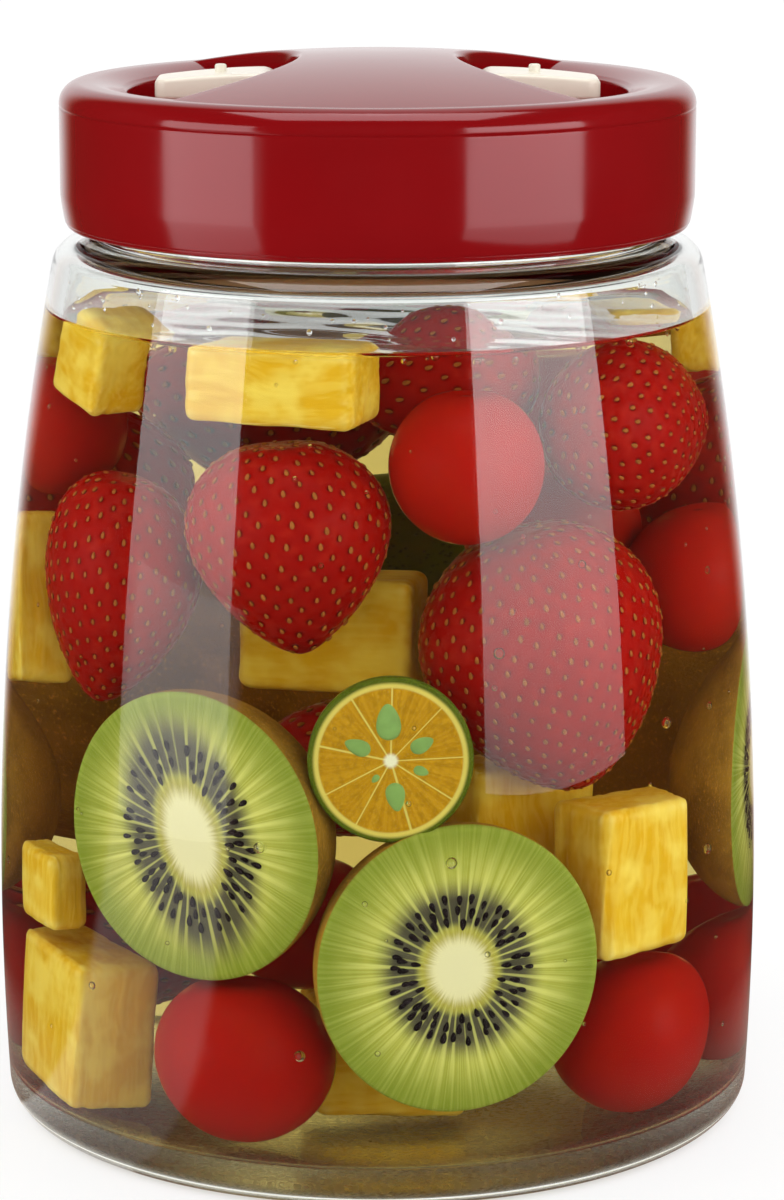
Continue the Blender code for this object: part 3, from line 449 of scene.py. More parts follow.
def scattered(template, centres, along, out, sizes, finish=0):
    """Copies of a small shape, one at each centre.

    The shape's z goes along, its y out and its x across, each times its size. All copies are
    worked out as one array: centre + x across + y out + z along.
    """
    across = np.cross(out, along)
    axes = np.stack([across, out, along], axis=1) * np.asarray(sizes)[..., :, None]
    points = np.einsum("pk,nkc->npc", template.points, axes) + centres[:, None, :]
    shifts = np.arange(len(centres))[:, None, None] * len(template.points)
    faces = [(block[None] + shifts).reshape(-1, block.shape[1]) for block in template.faces]
    own = np.tile(template.points, (len(centres), 1))
    return outward(Shape(points.reshape(-1, 3), faces, finish, own))


def same(vector, count):
    """One vector repeated as rows."""
    return np.tile(vector, (count, 1))


def pebble(steps, rings, point=0.0):
    """A small ball of radius 1, drawn out towards one end by the share given.

    At polar angle a its width is sin a (1 - point cos a), so that it is narrow at the top.
    """
    polar = np.linspace(-math.pi / 2, math.pi / 2, rings + 1)
    width = np.cos(polar) * (1.0 - point * np.sin(polar))
    return lathe(np.column_stack([width, np.sin(polar)]), steps)


def new_object(name, shape):
    """An object at the origin that holds a shape, linked to the scene."""
    mesh = bpy.data.meshes.new(name)
    faces = [corners for block in shape.faces for corners in block.tolist()]
    mesh.from_pydata(shape.points.tolist(), [], faces)
    obj = bpy.data.objects.new(name, mesh)
    bpy.context.scene.collection.objects.link(obj)
    return obj


def smooth(mesh, sharp_angle):
    mesh.polygons.foreach_set("use_smooth", np.ones(len(mesh.polygons), dtype=bool))
    mesh.set_sharp_from_angle(angle=sharp_angle)


def make_piece(name, shape, finishes, body, nodes=(), sharp_angle=SHARP_ANGLE):
    """Makes the shape an object that rides on a body, and hides the nodes named."""
    obj = new_object(name, shape)
    mesh = obj.data
    numbers = np.repeat(shape.finish, [len(block) for block in shape.faces])
    mesh.polygons.foreach_set("material_index", numbers.astype(np.int32))
    own = mesh.attributes.new("own", "FLOAT_VECTOR", "POINT")
    own.data.foreach_set("vector", shape.own.ravel())
    for finish in finishes:
        mesh.materials.append(finish)
    mesh.update()
    if mesh.validate():
        raise ValueError(f"{name}: the mesh had faulty faces")
    smooth(mesh, sharp_angle)
    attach(obj, body)
    if nodes:
        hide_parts(*nodes)
    return obj


def cut_ports(piece):
    """Takes the levers' two round ports out of a piece and keeps the result as its mesh."""
    profile = [(0.0, 0.180), (PORT_RADIUS, 0.180), (PORT_RADIUS, 0.1935), (0.0, 0.1935)]
    for side in (-1, 1):
        tool = new_object("port_tool", lathe(profile, 64).placed((side * PORT_OFFSET, 0.0, 0.0)))
        cut = piece.modifiers.new("Cut", "BOOLEAN")
        cut.operation, cut.solver, cut.object = "DIFFERENCE", "EXACT", tool
        bpy.context.view_layer.update()
        solved = piece.evaluated_get(bpy.context.evaluated_depsgraph_get())
        result = bpy.data.meshes.new_from_object(solved)
        piece.modifiers.remove(cut)
        old, piece.data = piece.data, result
        result.name = old.name
        bpy.data.meshes.remove(old)
        smooth(result, SHARP_ANGLE)
        bpy.data.objects.remove(tool, do_unlink=True)


# Finishes ----------------------------------------------------------------------------------------

NUMBER, VECTOR, COLOUR = "NodeSocketFloat", "NodeSocketVector", "NodeSocketColor"


def darker(colour, share):
    """The colour times a share."""
    return tuple(value * share for value in tuple(colour)[:3])


class Wiring:
    """Adds shader nodes to one tree, and links or sets their sockets."""

    def __init__(self, tree):
        self.tree = tree

    def set(self, socket, value):
        if isinstance(value, bpy.types.NodeSocket):
            self.tree.links.new(value, socket)
        elif socket.type == "RGBA":
            socket.default_value = (*tuple(value)[:3], 1.0)
        else:
            socket.default_value = value

    def add(self, kind, inputs=None, **settings):
        node = self.tree.nodes.new(kind)
        for key, value in settings.items():
            setattr(node, key, value)
        for key, value in (inputs or {}).items():
            self.set(node.inputs[key], value)
        return node

    def math(self, operation, *values):
        inputs = dict(enumerate(values))
        return self.add("ShaderNodeMath", inputs, operation=operation).outputs[0]

    def times(self, first, second):
        return self.math("MULTIPLY", first, second)

    def plus(self, first, second):
        return self.math("ADD", first, second)

    def minus(self, first, second):
        return self.math("SUBTRACT", first, second)

    def vector(self, operation, *values):
        node = self.add("ShaderNodeVectorMath", dict(enumerate(values)), operation=operation)
        return node.outputs["Value" if operation == "LENGTH" else "Vector"]

    def parts(self, vector):
        """The X, Y and Z of a vector."""
        return self.add("ShaderNodeSeparateXYZ", {0: vector}).outputs

    def mix(self, share, first, second):
        """A colour between two others."""
        inputs = {0: share, 6: first, 7: second}
        return self.add("ShaderNodeMix", inputs, data_type="RGBA").outputs[2]

    def between(self, value, low, high, start=0.0, end=1.0):
        """Goes smoothly from start to end as the value goes from low to high."""
        inputs = {"Value": value, "From Min": low, "From Max": high, "To Min": start, "To Max": end}
        node = self.add("ShaderNodeMapRange", inputs, interpolation_type="SMOOTHSTEP")
        return node.outputs["Result"]

    def rough(self, height, low, high):
        """A roughness from low to high that follows a noise."""
        return self.between(height, 0.3, 0.7, low, high)

    def noise(self, vector, scale, detail=2.0, roughness=0.5):
        inputs = {"Vector": vector, "Scale": scale, "Detail": detail, "Roughness": roughness}
        return self.add("ShaderNodeTexNoise", inputs).outputs["Fac"]

    def cells(self, vector, scale):
        """The distance to the nearest of many scattered points."""
        inputs = {"Vector": vector, "Scale": scale}
        return self.add("ShaderNodeTexVoronoi", inputs).outputs["Distance"]

    def place(self):
        """The place in the object's coordinates."""
        return self.add("ShaderNodeTexCoord").outputs["Object"]

    def own(self):
        """The place in the piece's own axes, kept with the mesh."""
        return self.add("ShaderNodeAttribute", attribute_name="own").outputs["Vector"]

    def geometry(self, output):
        return self.add("ShaderNodeNewGeometry").outputs[output]

    def shared(self, name, *values):
        """The outputs of a shared node group, its inputs set in their order."""
        node = self.add("ShaderNodeGroup")
        node.node_tree = bpy.data.node_groups.get(name) or GROUPS[name](name)
        for socket, value in zip(node.inputs, values):
            self.set(socket, value)
        return node.outputs

    def surface(self, share, first, second):
        """Ends the tree with a mix of two shaders."""
        inputs = {0: share, 1: first.outputs[0], 2: second.outputs[0]}
        both = self.add("ShaderNodeMixShader", inputs).outputs[0]
        self.set(self.tree.nodes["Material Output"].inputs["Surface"], both)


def new_group(name, inputs, outputs):
    """An empty shader node group with these named sockets, and its wiring, inputs and end."""
    tree = bpy.data.node_groups.new(name, "ShaderNodeTree")
    for label, kind, default in inputs:
        socket = tree.interface.new_socket(label, in_out="INPUT", socket_type=kind)
        if default is not None:
            socket.default_value = default
    for label, kind in outputs:
        tree.interface.new_socket(label, in_out="OUTPUT", socket_type=kind)
    wiring = Wiring(tree)
    return tree, wiring, wiring.add("NodeGroupInput").outputs, wiring.add("NodeGroupOutput").inputs


def blotches_group(name):
    """Blotches: a colour goes lighter and darker in soft patches with finer ones inside."""
    inputs = (
        ("Vector", VECTOR, None), ("Colour", COLOUR, None), ("Patch colour", COLOUR, None),
        ("Scale", NUMBER, 60.0), ("Amount", NUMBER, 0.5),
    )
    outputs = (("Colour", COLOUR), ("Patches", NUMBER))
    tree, wire, given, result = new_group(name, inputs, outputs)
    mask = wire.between(wire.noise(given["Vector"], given["Scale"], 5.0, 0.6), 0.36, 0.66)
    share = wire.times(mask, given["Amount"])
    wire.set(result["Colour"], wire.mix(share, given["Colour"], given["Patch colour"]))
    wire.set(result["Patches"], mask)
    return tree


def streaks_group(name):
    """Streaks that run along one axis: fine noise on coordinates squeezed along the others."""
    inputs = (
        ("Vector", VECTOR, None), ("Scale", NUMBER, 1.0), ("Low", NUMBER, 0.4),
        ("High", NUMBER, 0.6),
    )
    tree, wire, given, result = new_group(name, inputs, (("Mask", NUMBER), ("Height", NUMBER)))
    fine = wire.noise(given["Vector"], given["Scale"], 4.0, 0.55)
    wire.set(result["Mask"], wire.between(fine, given["Low"], given["High"]))
    wire.set(result["Height"], fine)
    return tree


def moulded_group(name):
    """Moulded plastic: a faint waviness of the surface, and slight changes in its gloss."""
    inputs = (
        ("Vector", VECTOR, None), ("Scale", NUMBER, 400.0), ("Gloss", NUMBER, 0.1),
        ("Spread", NUMBER, 0.03),
    )
    outputs = (("Roughness", NUMBER), ("Height", NUMBER))
    tree, wire, given, result = new_group(name, inputs, outputs)
    high = wire.plus(given["Gloss"], given["Spread"])
    low = wire.minus(given["Gloss"], given["Spread"])
    wire.set(result["Roughness"], wire.rough(wire.noise(given["Vector"], 45.0, 3.0), low, high))
    wire.set(result["Height"], wire.noise(given["Vector"], given["Scale"], 3.0))
    return tree


GROUPS = {"Blotches": blotches_group, "Streaks": streaks_group, "Moulded surface": moulded_group}


class Finish(Wiring):
    """A material with a Principled shader, and the wiring of its tree."""

    def __init__(self, name):
        self.material = bpy.data.materials.new(name)
        self.material.use_nodes = True
        super().__init__(self.material.node_tree)
        self.shader = self.tree.nodes["Principled BSDF"]

    def give(self, inputs):
        """Sets or links sockets of the shader, and returns the material."""
        for key, value in inputs.items():
            self.set(self.shader.inputs[key], value)
        return self.material

    def bump(self, height, strength, distance):
        inputs = {"Height": height, "Strength": strength, "Distance": distance}
        self.give({"Normal": self.add("ShaderNodeBump", inputs).outputs["Normal"]})

    def soaked(self, base, roughness):
        """Fruit with little mirror gloss: the liquid bends light nearly as much as fruit does."""
        gloss = {"Specular IOR Level": WET_GLOSS}
        return self.give({"Base Color": base, "Roughness": roughness, **gloss})

    def cut_face(self):
        """On a cut face: its flat place, the distance and direction from its middle, the angle."""
        flat = self.vector("MULTIPLY", self.own(), (1.0, 0.0, 1.0))
        parts = self.parts(flat)
        angle = self.math("ARCTAN2", parts["Z"], parts["X"])
        return flat, self.vector("LENGTH", flat), self.vector("NORMALIZE", flat), angle

    def clear(self, colour, refraction, shadow, unseen=0.0):
        """Clear glass or liquid, see-through and bending light by its index.

        Lamps shine through it, times the shadow colour, and don't cast a solid shadow. Where
        unseen is 1 the surface isn't there at all for any ray.
        """
        self.give({
            "Base Color": colour, "Roughness": 0.0, "IOR": refraction, "Transmission Weight": 1.0
        })
        passing = self.add("ShaderNodeBsdfTransparent", {"Color": shadow})
        lamp = self.add("ShaderNodeLightPath").outputs["Is Shadow Ray"]
        self.surface(self.math("MAXIMUM", lamp, unseen), self.shader, passing)
        return self


def plastic_finish(name, colour, patch, gloss, spread=0.03, height=0.00002):
    """Moulded plastic or rubber in a colour with faint patches, slight waviness and gloss."""
    mould = Finish(name)
    place = mould.place()
    base = mould.shared("Blotches", place, colour, darker(colour, patch), 30.0, 0.35)["Colour"]
    surface = mould.shared("Moulded surface", place, 400.0, gloss, spread)
    mould.bump(surface["Height"], 0.25, height)
    return mould.give({"Base Color": base, "Roughness": surface["Roughness"]})


def steel_finish(colour):
    """Drawn steel wire: fine rings round the pin, slightly rough."""
    wire = Finish("pin_steel")
    rings = wire.vector("MULTIPLY", wire.place(), (300.0, 6000.0, 300.0))
    fine = wire.shared("Streaks", rings, 1.0, 0.3, 0.7)
    base = wire.mix(fine["Mask"], darker(colour, 0.8), colour)
    roughness = wire.rough(fine["Height"], 0.2, 0.36)
    return wire.give({"Base Color": base, "Roughness": roughness, "Metallic": 1.0})


def tomato_finish(settings):
    """Taut glossy skin: ripe red with soft orange patches and pale specks under it."""
    skin = Finish("tomato_skin")
    place, red = skin.place(), settings.tomato
    warm = (min(1.0, red[0] * 1.08), red[1] * 2.2 + 0.002, red[2] * 1.3)
    base = skin.shared("Blotches", place, red, warm, 55.0, 0.55)["Colour"]
    speck = skin.between(skin.cells(place, 900.0), 0.18, 0.10, 0.0, 0.16)
    base = skin.mix(speck, base, (0.75, 0.22, 0.08))
    return skin.soaked(base, skin.rough(skin.noise(place, 200.0), 0.14, 0.24))


def berry_finish(settings):
    """Strawberry flesh: deep red with lighter patches and veins. A painted highlight lightens the
    swellings between seeds, and painted shade darkens the dimples.

    The own coordinates hold the depth in a dimple as x, the share of the length as z.
    """
    flesh = Finish("strawberry_flesh")
    place, deep, red = flesh.place(), flesh.parts(flesh.own())["X"], settings.berry
    bright = (min(1.0, red[0] * 1.3), red[1] * 2.0 + 0.001, red[2] * 1.4)
    base = flesh.shared("Blotches", place, red, bright, 70.0, 0.5)["Colour"]
    # Painted highlight: away from the seeds, on the swellings between the dimples, the red is
    # lightened.
    base = flesh.mix(flesh.between(deep, 0.40, 0.0, 0.0, 0.30), base, bright)
    veins = flesh.between(flesh.noise(place, 420.0, 3.0), 0.50, 0.68, 0.0, 0.35)
    base = flesh.mix(veins, base, (0.50, 0.022, 0.009))
    # Painted shade: the red darkens towards the bottom of each dimple.
    base = flesh.mix(flesh.between(deep, 0.22, 0.80), base, darker(red, 0.34))
    flesh.bump(flesh.noise(place, 900.0, 3.0), 0.35, 0.0001)
    return flesh.soaked(base, flesh.rough(flesh.noise(place, 350.0), 0.22, 0.36))


def speckled_finish(name, colour, patch, roughness, scale=900.0):
    """A small dry thing such as a seed: its colour in patches, with a faint grain."""
    seed = Finish(name)
    spots = seed.shared("Blotches", seed.place(), colour, darker(colour, patch), scale, 0.8)
    grain = seed.between(spots["Patches"], 0.0, 1.0, roughness, roughness + 0.15)
    return seed.soaked(spots["Colour"], grain)


def pineapple_finish(settings):
    """Wet pineapple: yellow, with soft pale and golden fibres and a painted highlight along the
    edges.

    The own coordinates run along the fibres as x, in metres.
    """
    flesh = Finish("pineapple_flesh")
    own, yellow, pale = flesh.own(), settings.pineapple, settings.fibre
    wander = flesh.add("ShaderNodeTexNoise", {"Vector": own, "Scale": 60.0}).outputs["Color"]
    bent = flesh.vector("ADD", own, flesh.vector("MULTIPLY", wander, (0.008, 0.008, 0.008)))
    fine = flesh.vector("MULTIPLY", bent, (60.0, 700.0, 700.0))
    thin = flesh.shared("Streaks", fine, 1.0, 0.44, 0.62)
    broad = flesh.vector("MULTIPLY", bent, (40.0, 190.0, 190.0))
    wide = flesh.shared("Streaks", broad, 1.0, 0.36, 0.68)
    golden = (yellow[0] * 0.97, yellow[1] * 0.90, yellow[2] * 0.60)
    base = flesh.mix(wide["Mask"], golden, yellow)
    base = flesh.mix(flesh.between(flesh.noise(own, 110.0, 3.0), 0.42, 0.66, 0.0, 0.7), base, pale)
    base = flesh.mix(flesh.times(thin["Mask"], 0.28), base, pale)
    # Painted highlight: the chunk's edges, found by the mesh's pointiness, are lightened to pale
    # yellow.
    edge = flesh.between(flesh.geometry("Pointiness"), 0.505, 0.56, 0.0, 0.55)
    base = flesh.mix(edge, base, (0.93, 0.80, 0.30))
    flesh.bump(thin["Height"], 0.3, 0.0003)
    return flesh.soaked(base, flesh.rough(wide["Height"], 0.30, 0.45))


def kiwi_flesh_finish(settings):
    """Cut kiwi: cream core, grey-violet haze round the seeds, pale rays, green towards the skin.

    The own coordinates hold the place on the face: x and z are shares of its half width and
    half height, and y is the share of the way to the core's edge.
    """
    face = Finish("kiwi_flesh")
    flat, radius, direction, angle = face.cut_face()
    way, flesh = face.parts(face.own())["Y"], settings.kiwi
    wander = face.times(face.noise(direction, 4.0), 5.0)
    spoke = face.math("SINE", face.plus(face.times(angle, 43.0), wander))
    rays = face.between(face.plus(spoke, face.times(face.noise(direction, 14.0), 2.2)), 0.95, 2.35)
    hairs = face.shared("Streaks", direction, 46.0, 0.42, 0.64)
    pale = (flesh[0] * 1.50 + 0.04, flesh[1] * 1.50 + 0.04, flesh[2] * 2.3 + 0.04)
    deep = (flesh[0] * 0.48, flesh[1] * 0.60, flesh[2] * 0.36)
    olive = (flesh[0] * 0.80, flesh[1] * 0.62, flesh[2] * 0.45)
    base = face.mix(face.between(face.noise(flat, 5.0, 4.0), 0.38, 0.66, 0.0, 0.35), flesh, deep)
    base = face.mix(face.between(radius, 0.58, 0.97), base, deep)
    base = face.mix(face.times(rays, face.between(radius, 0.93, 0.46, 0.0, 0.92)), base, pale)
    fine = face.between(radius, 0.98, 0.40, 0.12, 0.60)
    base = face.mix(face.times(hairs["Mask"], fine), base, pale)
    ring = face.times(face.between(way, 1.14, 1.50), face.between(way, 2.90, 2.05))
    haze = face.times(ring, face.between(rays, 1.0, 0.35, 0.35, 0.94))
    base = face.mix(haze, base, (0.075, 0.066, 0.058))
    edge = face.plus(way, face.times(face.noise(direction, 20.0, 3.0), 0.55))
    base = face.mix(face.between(edge, 1.72, 1.36, 0.0, 0.62), base, olive)
    base = face.mix(face.between(edge, 1.48, 1.02), base, settings.kiwi_core)
    face.bump(hairs["Height"], 0.3, 0.0003)
    return face.soaked(base, face.rough(hairs["Height"], 0.22, 0.34))


def kiwi_skin_finish(settings):
    """Brown kiwi skin with short hairs: fine rough grain over darker patches."""
    fur = Finish("kiwi_skin")
    place, skin = fur.place(), settings.kiwi_skin
    base = fur.shared("Blotches", place, skin, darker(skin, 0.45), 60.0, 0.8)["Colour"]
    hairs = fur.noise(fur.vector("MULTIPLY", place, (1.0, 1.0, 0.45)), 2600.0, 3.0, 0.7)
    light = (skin[0] * 2.2, skin[1] * 2.0, skin[2] * 1.8)
    fur.bump(hairs, 0.8, 0.0003)
    return fur.soaked(fur.mix(fur.between(hairs, 0.52, 0.75, 0.0, 0.6), base, light), 0.85)


def citrus_flesh_finish(settings):
    """Cut calamondin: amber segments of juice sacs between pale walls, pith and a white middle.

    The own coordinates hold the place on the face: x and z are shares of its half sizes.
    """
    face = Finish("calamondin_flesh")
    flat, radius, direction, angle = face.cut_face()
    flesh, pith = settings.citrus, settings.membrane
    bent = face.plus(angle, face.times(face.noise(direction, 1.6), 0.5))
    turn = face.math("FRACT", face.times(face.plus(bent, 3.1416), 9.0 / (2 * math.pi)))
    side = face.math("ABSOLUTE", face.minus(turn, 0.5))
    width = face.times(face.minus(0.5, side), radius)
    sacs = face.shared("Streaks", direction, 16.0, 0.42, 0.62)
    cells = face.noise(flat, 9.0, 4.0, 0.6)
    glow = (min(1.0, flesh[0] * 1.4), flesh[1] * 1.55, flesh[2] * 2.6)
    base = face.mix(face.times(sacs["Mask"], 0.45), flesh, glow)
    base = face.mix(face.between(cells, 0.45, 0.62, 0.0, 0.40), base, darker(flesh, 0.58))
    # Painted glints: fine flecks of the lighter amber on the juice sacs.
    base = face.mix(face.between(face.noise(flat, 34.0, 3.0), 0.52, 0.70, 0.0, 0.55), base, glow)
    base = face.mix(face.between(width, 0.022, 0.006), base, pith)
    base = face.mix(face.between(radius, 0.11, 0.05), base, (0.90, 0.88, 0.66))
    base = face.mix(face.between(radius, 0.855, 0.885), base, pith)
    specks = face.between(face.noise(flat, 70.0), 0.44, 0.60, 0.0, 0.7)
    rind = face.mix(specks, settings.rind, darker(settings.rind, 0.35))
    base = face.mix(face.between(radius, 0.905, 0.955), base, rind)
    face.bump(cells, 0.4, 0.0003)
    return face.soaked(base, face.rough(cells, 0.18, 0.32))


def rind_finish(settings):
    """Citrus rind: glossy green, with darker oil glands as pores."""
    peel = Finish("calamondin_rind")
    place, rind = peel.place(), settings.rind
    warm = (rind[0] * 2.0, rind[1] * 1.25, rind[2] * 0.9)
    base = peel.shared("Blotches", place, rind, warm, 80.0, 0.6)["Colour"]
    pore = peel.between(peel.cells(place, 1100.0), 0.34, 0.16)
    peel.bump(peel.minus(1.0, pore), 0.4, 0.00015)
    return peel.soaked(peel.mix(peel.times(pore, 0.7), base, darker(rind, 0.35)), 0.32)


# Glass -------------------------------------------------------------------------------------------


def side_radius(height, offset=0.0):
    """Radius of the side's arc at a height, moved in by offset."""
    reach = SIDE_ARC - offset
    return BELLY_RADIUS - SIDE_ARC + np.sqrt(reach**2 - (np.asarray(height) - BELLY_HEIGHT) ** 2)


def side_round(offset, radius, height):
    """Centre radius, and tilt in degrees, of a round at a height that meets the side smoothly."""
    reach = SIDE_ARC - offset - radius
    tilt = math.asin((height - BELLY_HEIGHT) / reach)
    return BELLY_RADIUS - SIDE_ARC + reach * math.cos(tilt), math.degrees(tilt)


def side_points(low, high, offset, count):
    heights = np.linspace(low, high, count + 1)
    return np.column_stack([side_radius(heights, offset), heights])


def jar_outside():
    """From the middle of the base out, up the side and over the shoulder to the lip."""
    share = np.linspace(0.0, 1.0, 21)
    punt = np.column_stack([PUNT_RADIUS * share, PUNT_HEIGHT * (1 - share**4)])
    heel_r, heel_tilt = side_round(0.0, HEEL_ROUND, HEEL_ROUND)
    heel = arc(heel_r, HEEL_ROUND, HEEL_ROUND, -90, heel_tilt, 14)
    round_z = SHOULDER_TOP - SHOULDER_ROUND
    round_r, tilt = side_round(0.0, SHOULDER_ROUND, round_z)
    shoulder = arc(round_r, round_z, SHOULDER_ROUND, tilt, 90, 14)
    side = side_points(heel[-1, 1], shoulder[0, 1], 0.0, 56)
    fillet = corner(NECK_RADIUS, SHOULDER_TOP, NECK_FILLET, 270, 180, 6)
    lip = corner(NECK_RADIUS, LIP_TOP, LIP_ROUND, 0, 90, 6)
    neck = straight(fillet[-1], lip[0], 56)
    return np.vstack([punt, heel, side, shoulder, fillet, neck, lip])


def jar_inside():
    """From the lip down the mouth and the inside to the middle of the floor."""
    lip = corner(MOUTH_RADIUS, LIP_TOP, LIP_ROUND, 90, 180, 6)
    fillet = corner(MOUTH_RADIUS, SHOULDER_TOP - WALL, NECK_FILLET, 180, 270, 6)
    mouth = straight(lip[-1], fillet[0], 6)
    inner, round_z = SHOULDER_ROUND - WALL, SHOULDER_TOP - SHOULDER_ROUND
    round_r, tilt = side_round(WALL, inner, round_z)
    shoulder = arc(round_r, round_z, inner, 90, tilt, 8)
    floor_z = FLOOR + FLOOR_ROUND
    floor_r, floor_tilt = side_round(WALL, FLOOR_ROUND, floor_z)
    foot = arc(floor_r, floor_z, FLOOR_ROUND, floor_tilt, -90, 14)
    dry = side_points(shoulder[-1, 1], RIM_WET, WALL, 6)
    wet = side_points(RIM_WET, foot[0, 1], WALL, 56)
    return np.vstack([lip, mouth, fillet, shoulder, dry, wet, foot])


def thread_rise(angle, height, thread):
    """How far a two-start thread stands out at each angle and height.

    It is sqrt(bead^2 - d^2) - sink, d being the height above or below the helix. The bead
    thins to nothing over the first and last 14 degrees of each start.
    """
    rise = np.zeros(np.broadcast(angle, height).shape)
    for start in (0.0, 180.0):
        run = (np.degrees(angle) - thread["first"] - start) % 360.0
        middle = thread["low"] + THREAD_LEAD * run / 360.0
        fade = np.clip(np.minimum(run, thread["turn"] - run) / 14.0, 0.0, 1.0)
        bead = thread["bead"] * np.sqrt(fade)
        out = np.sqrt(np.clip(bead**2 - (height - middle) ** 2, 0.0, None)) - thread["sink"]
        rise = np.maximum(rise, np.where(run <= thread["turn"], out, 0.0))
    return rise


def glass_shape(facets):
    """The whole jar as one closed skin, its thread standing out of the neck's outer side.

    The faces that the liquid wets have finish 1, the underside finish 2, and all others finish 0.
    """

    def standing(angle, radius, height):
        on_neck = (np.abs(radius - NECK_RADIUS) < 1e-6) & (height > SHOULDER_TOP + NECK_FILLET)
        return np.where(on_neck, thread_rise(angle, height, JAR_THREAD), 0.0)

    profile = without_repeats(np.vstack([jar_outside(), jar_inside(), [(0.0, FLOOR)]]))
    shape = lathe(profile, facets, standing=standing)
    quads, underside, middle = shape.faces
    inside = len(without_repeats(jar_outside()))
    below = profile[inside:, 1] < RIM_WET - 1e-7
    contact = (inside + int(np.argmax(below)) - 2) * facets
    past_foot = (profile[:, 0] > PUNT_RADIUS) & (profile[:, 1] > FROSTED_HEIGHT)
    foot = (int(np.argmax(past_foot)) - 2) * facets
    faces = [quads[:foot], underside, quads[foot:contact], quads[contact:], middle]
    return Shape(shape.points, faces, [2, 2, 0, 1, 1])


# Lid ---------------------------------------------------------------------------------------------


def lid_shell_profile(parting):
    """From the underside's middle, down the inside, up the side, over the rim to the recess."""
    foot, lip_round = 0.0009, 0.0006
    share = np.linspace(1.0, 0.0, 30)
    tucked = LID_RADIUS - TUCK * share**1.35
    heights = LID_BOTTOM + TUCK_HEIGHT * (1 - share)
    side = np.column_stack([tucked, heights])[heights > LID_BOTTOM + foot]
    bottom = corner(tucked[0], LID_BOTTOM, foot, -90, 0, 6)
    edge_z = RIM_TOP - EDGE_ROUND
    fine = np.linspace(LID_BOTTOM + TUCK_HEIGHT + 0.001, edge_z, 64)
    groove = parting * np.exp(-(((fine - edge_z + 0.0005) / 0.00016) ** 2))
    band = np.column_stack([LID_RADIUS - groove, fine])
    edge = corner(LID_RADIUS, RIM_TOP, EDGE_ROUND, 0, 90, 16)
    way = np.linspace(1.0, 0.0, 16)
    fall = DISH_DEPTH * (1 - way) ** 1.6
    dish = np.column_stack([RECESS_RADIUS + DISH_WIDTH * way, RIM_TOP - fall])
    lip = corner(RECESS_RADIUS, dish[-1, 1], lip_round, 90, 180, 4)
    dish = dish[dish[:, 0] > RECESS_RADIUS + 0.0007]
    cove = corner(RECESS_RADIUS, RECESS_FLOOR, lip_round, 0, -90, 4)
    inside = [(0.0, LID_UNDERSIDE), (LID_INSIDE, LID_UNDERSIDE), (LID_INSIDE, LID_BOTTOM)]
    return np.vstack([inside, bottom, side, band, edge, dish, lip, cove, [(0.0, RECESS_FLOOR)]])


def dome_height(radius):
    """The grip's top: a sphere cap that meets the rim's plane at the grip's reach."""
    sphere = (GRIP_REACH**2 + GRIP_RISE**2) / (2 * GRIP_RISE)
    return RIM_TOP + GRIP_RISE - sphere + np.sqrt(sphere**2 - radius**2)


def grip_shape(edge):
    """The raised grip across the lid, as sections across it from its front end to its back end.

    Section v, from -1 to 1, is as wide as the space between the two scoops at its place. Its
    points lie on a circle about the lid's axis whose radius is reach / |v|, so that the middle
    section is straight and the end ones follow the rim. Its top follows the dome, and its long
    edges are rounded by a quarter circle.
    """
    share = np.sin(np.linspace(-1.0, 1.0, 91) * math.pi / 2)[:, None]
    place = np.abs(share) * GRIP_CORNER
    half = SCOOP_OFFSET - np.sqrt(SCOOP_RADIUS**2 - place**2)
    turn = np.linspace(0.0, math.pi / 2, 9)[None, :]
    rise_up = edge * np.sin(turn) - edge
    left = edge * (1 - np.cos(turn)) - half
    top = (half - edge) * np.linspace(-1.0, 1.0, 31)[None, 1:-1]
    x = np.concatenate([-half, -half, left, top, -left[:, ::-1], half, half], axis=1)
    wall, flat = np.zeros((1, 2)), np.zeros((1, 29))
    drop = np.concatenate([wall, rise_up, flat, rise_up[:, ::-1], wall], axis=1)
    circle = GRIP_REACH / np.maximum(np.abs(share), 1e-3)
    bow = (half**2 - x**2) / (np.sqrt(circle**2 - x**2) + np.sqrt(circle**2 - half**2))
    y = np.sign(share) * (place + bow)
    z = dome_height(np.minimum(np.hypot(x, y), GRIP_REACH)) + drop
    foot = RECESS_FLOOR - SUNK
    z[:, [0, -1]] = foot
    z[:, [1, -2]] = foot + 0.35 * (z[:, [2, -3]] - foot)
    middle = (RECESS_FLOOR + RIM_TOP) / 2
    ends = [(0.0, s * (GRIP_REACH - 0.0002), middle) for s in (-1, 1)]
    return outward(closed_rows(stacked(x, y, z), *ends))


def ear_shape(side, edge):
    """A post with a round head that holds one end of a lever's pin, its rims eased by a round."""
    foot = RECESS_FLOOR - SUNK - PIVOT_HEIGHT
    head = arc(0.0, 0.0, EAR_RADIUS, 0, 180, 16)
    across, up = np.vstack([[(EAR_RADIUS, foot)], head, [(-EAR_RADIUS, foot)]]).T
    turn = np.linspace(0.0, math.pi / 2, 4)
    inset = EASE * (1 - np.sin(turn))
    depth = EASE * (1 - np.cos(turn))
    shrink = 1 - np.concatenate([inset, inset[::-1]])[:, None] / EAR_RADIUS
    depth = np.concatenate([depth, EAR_THICKNESS - depth[::-1]])[:, None]
    z = np.where(up > 0, up * shrink, up)
    y = edge * (LEVER_HALF_WIDTH + 0.0003 + depth)
    rows = stacked(across * shrink + side * PIVOT_OFFSET, y, z + PIVOT_HEIGHT)
    ends = [(side * PIVOT_OFFSET, rows[i, 0, 1], PIVOT_HEIGHT - 0.001) for i in (0, -1)]
    return outward(closed_rows(rows, *ends))


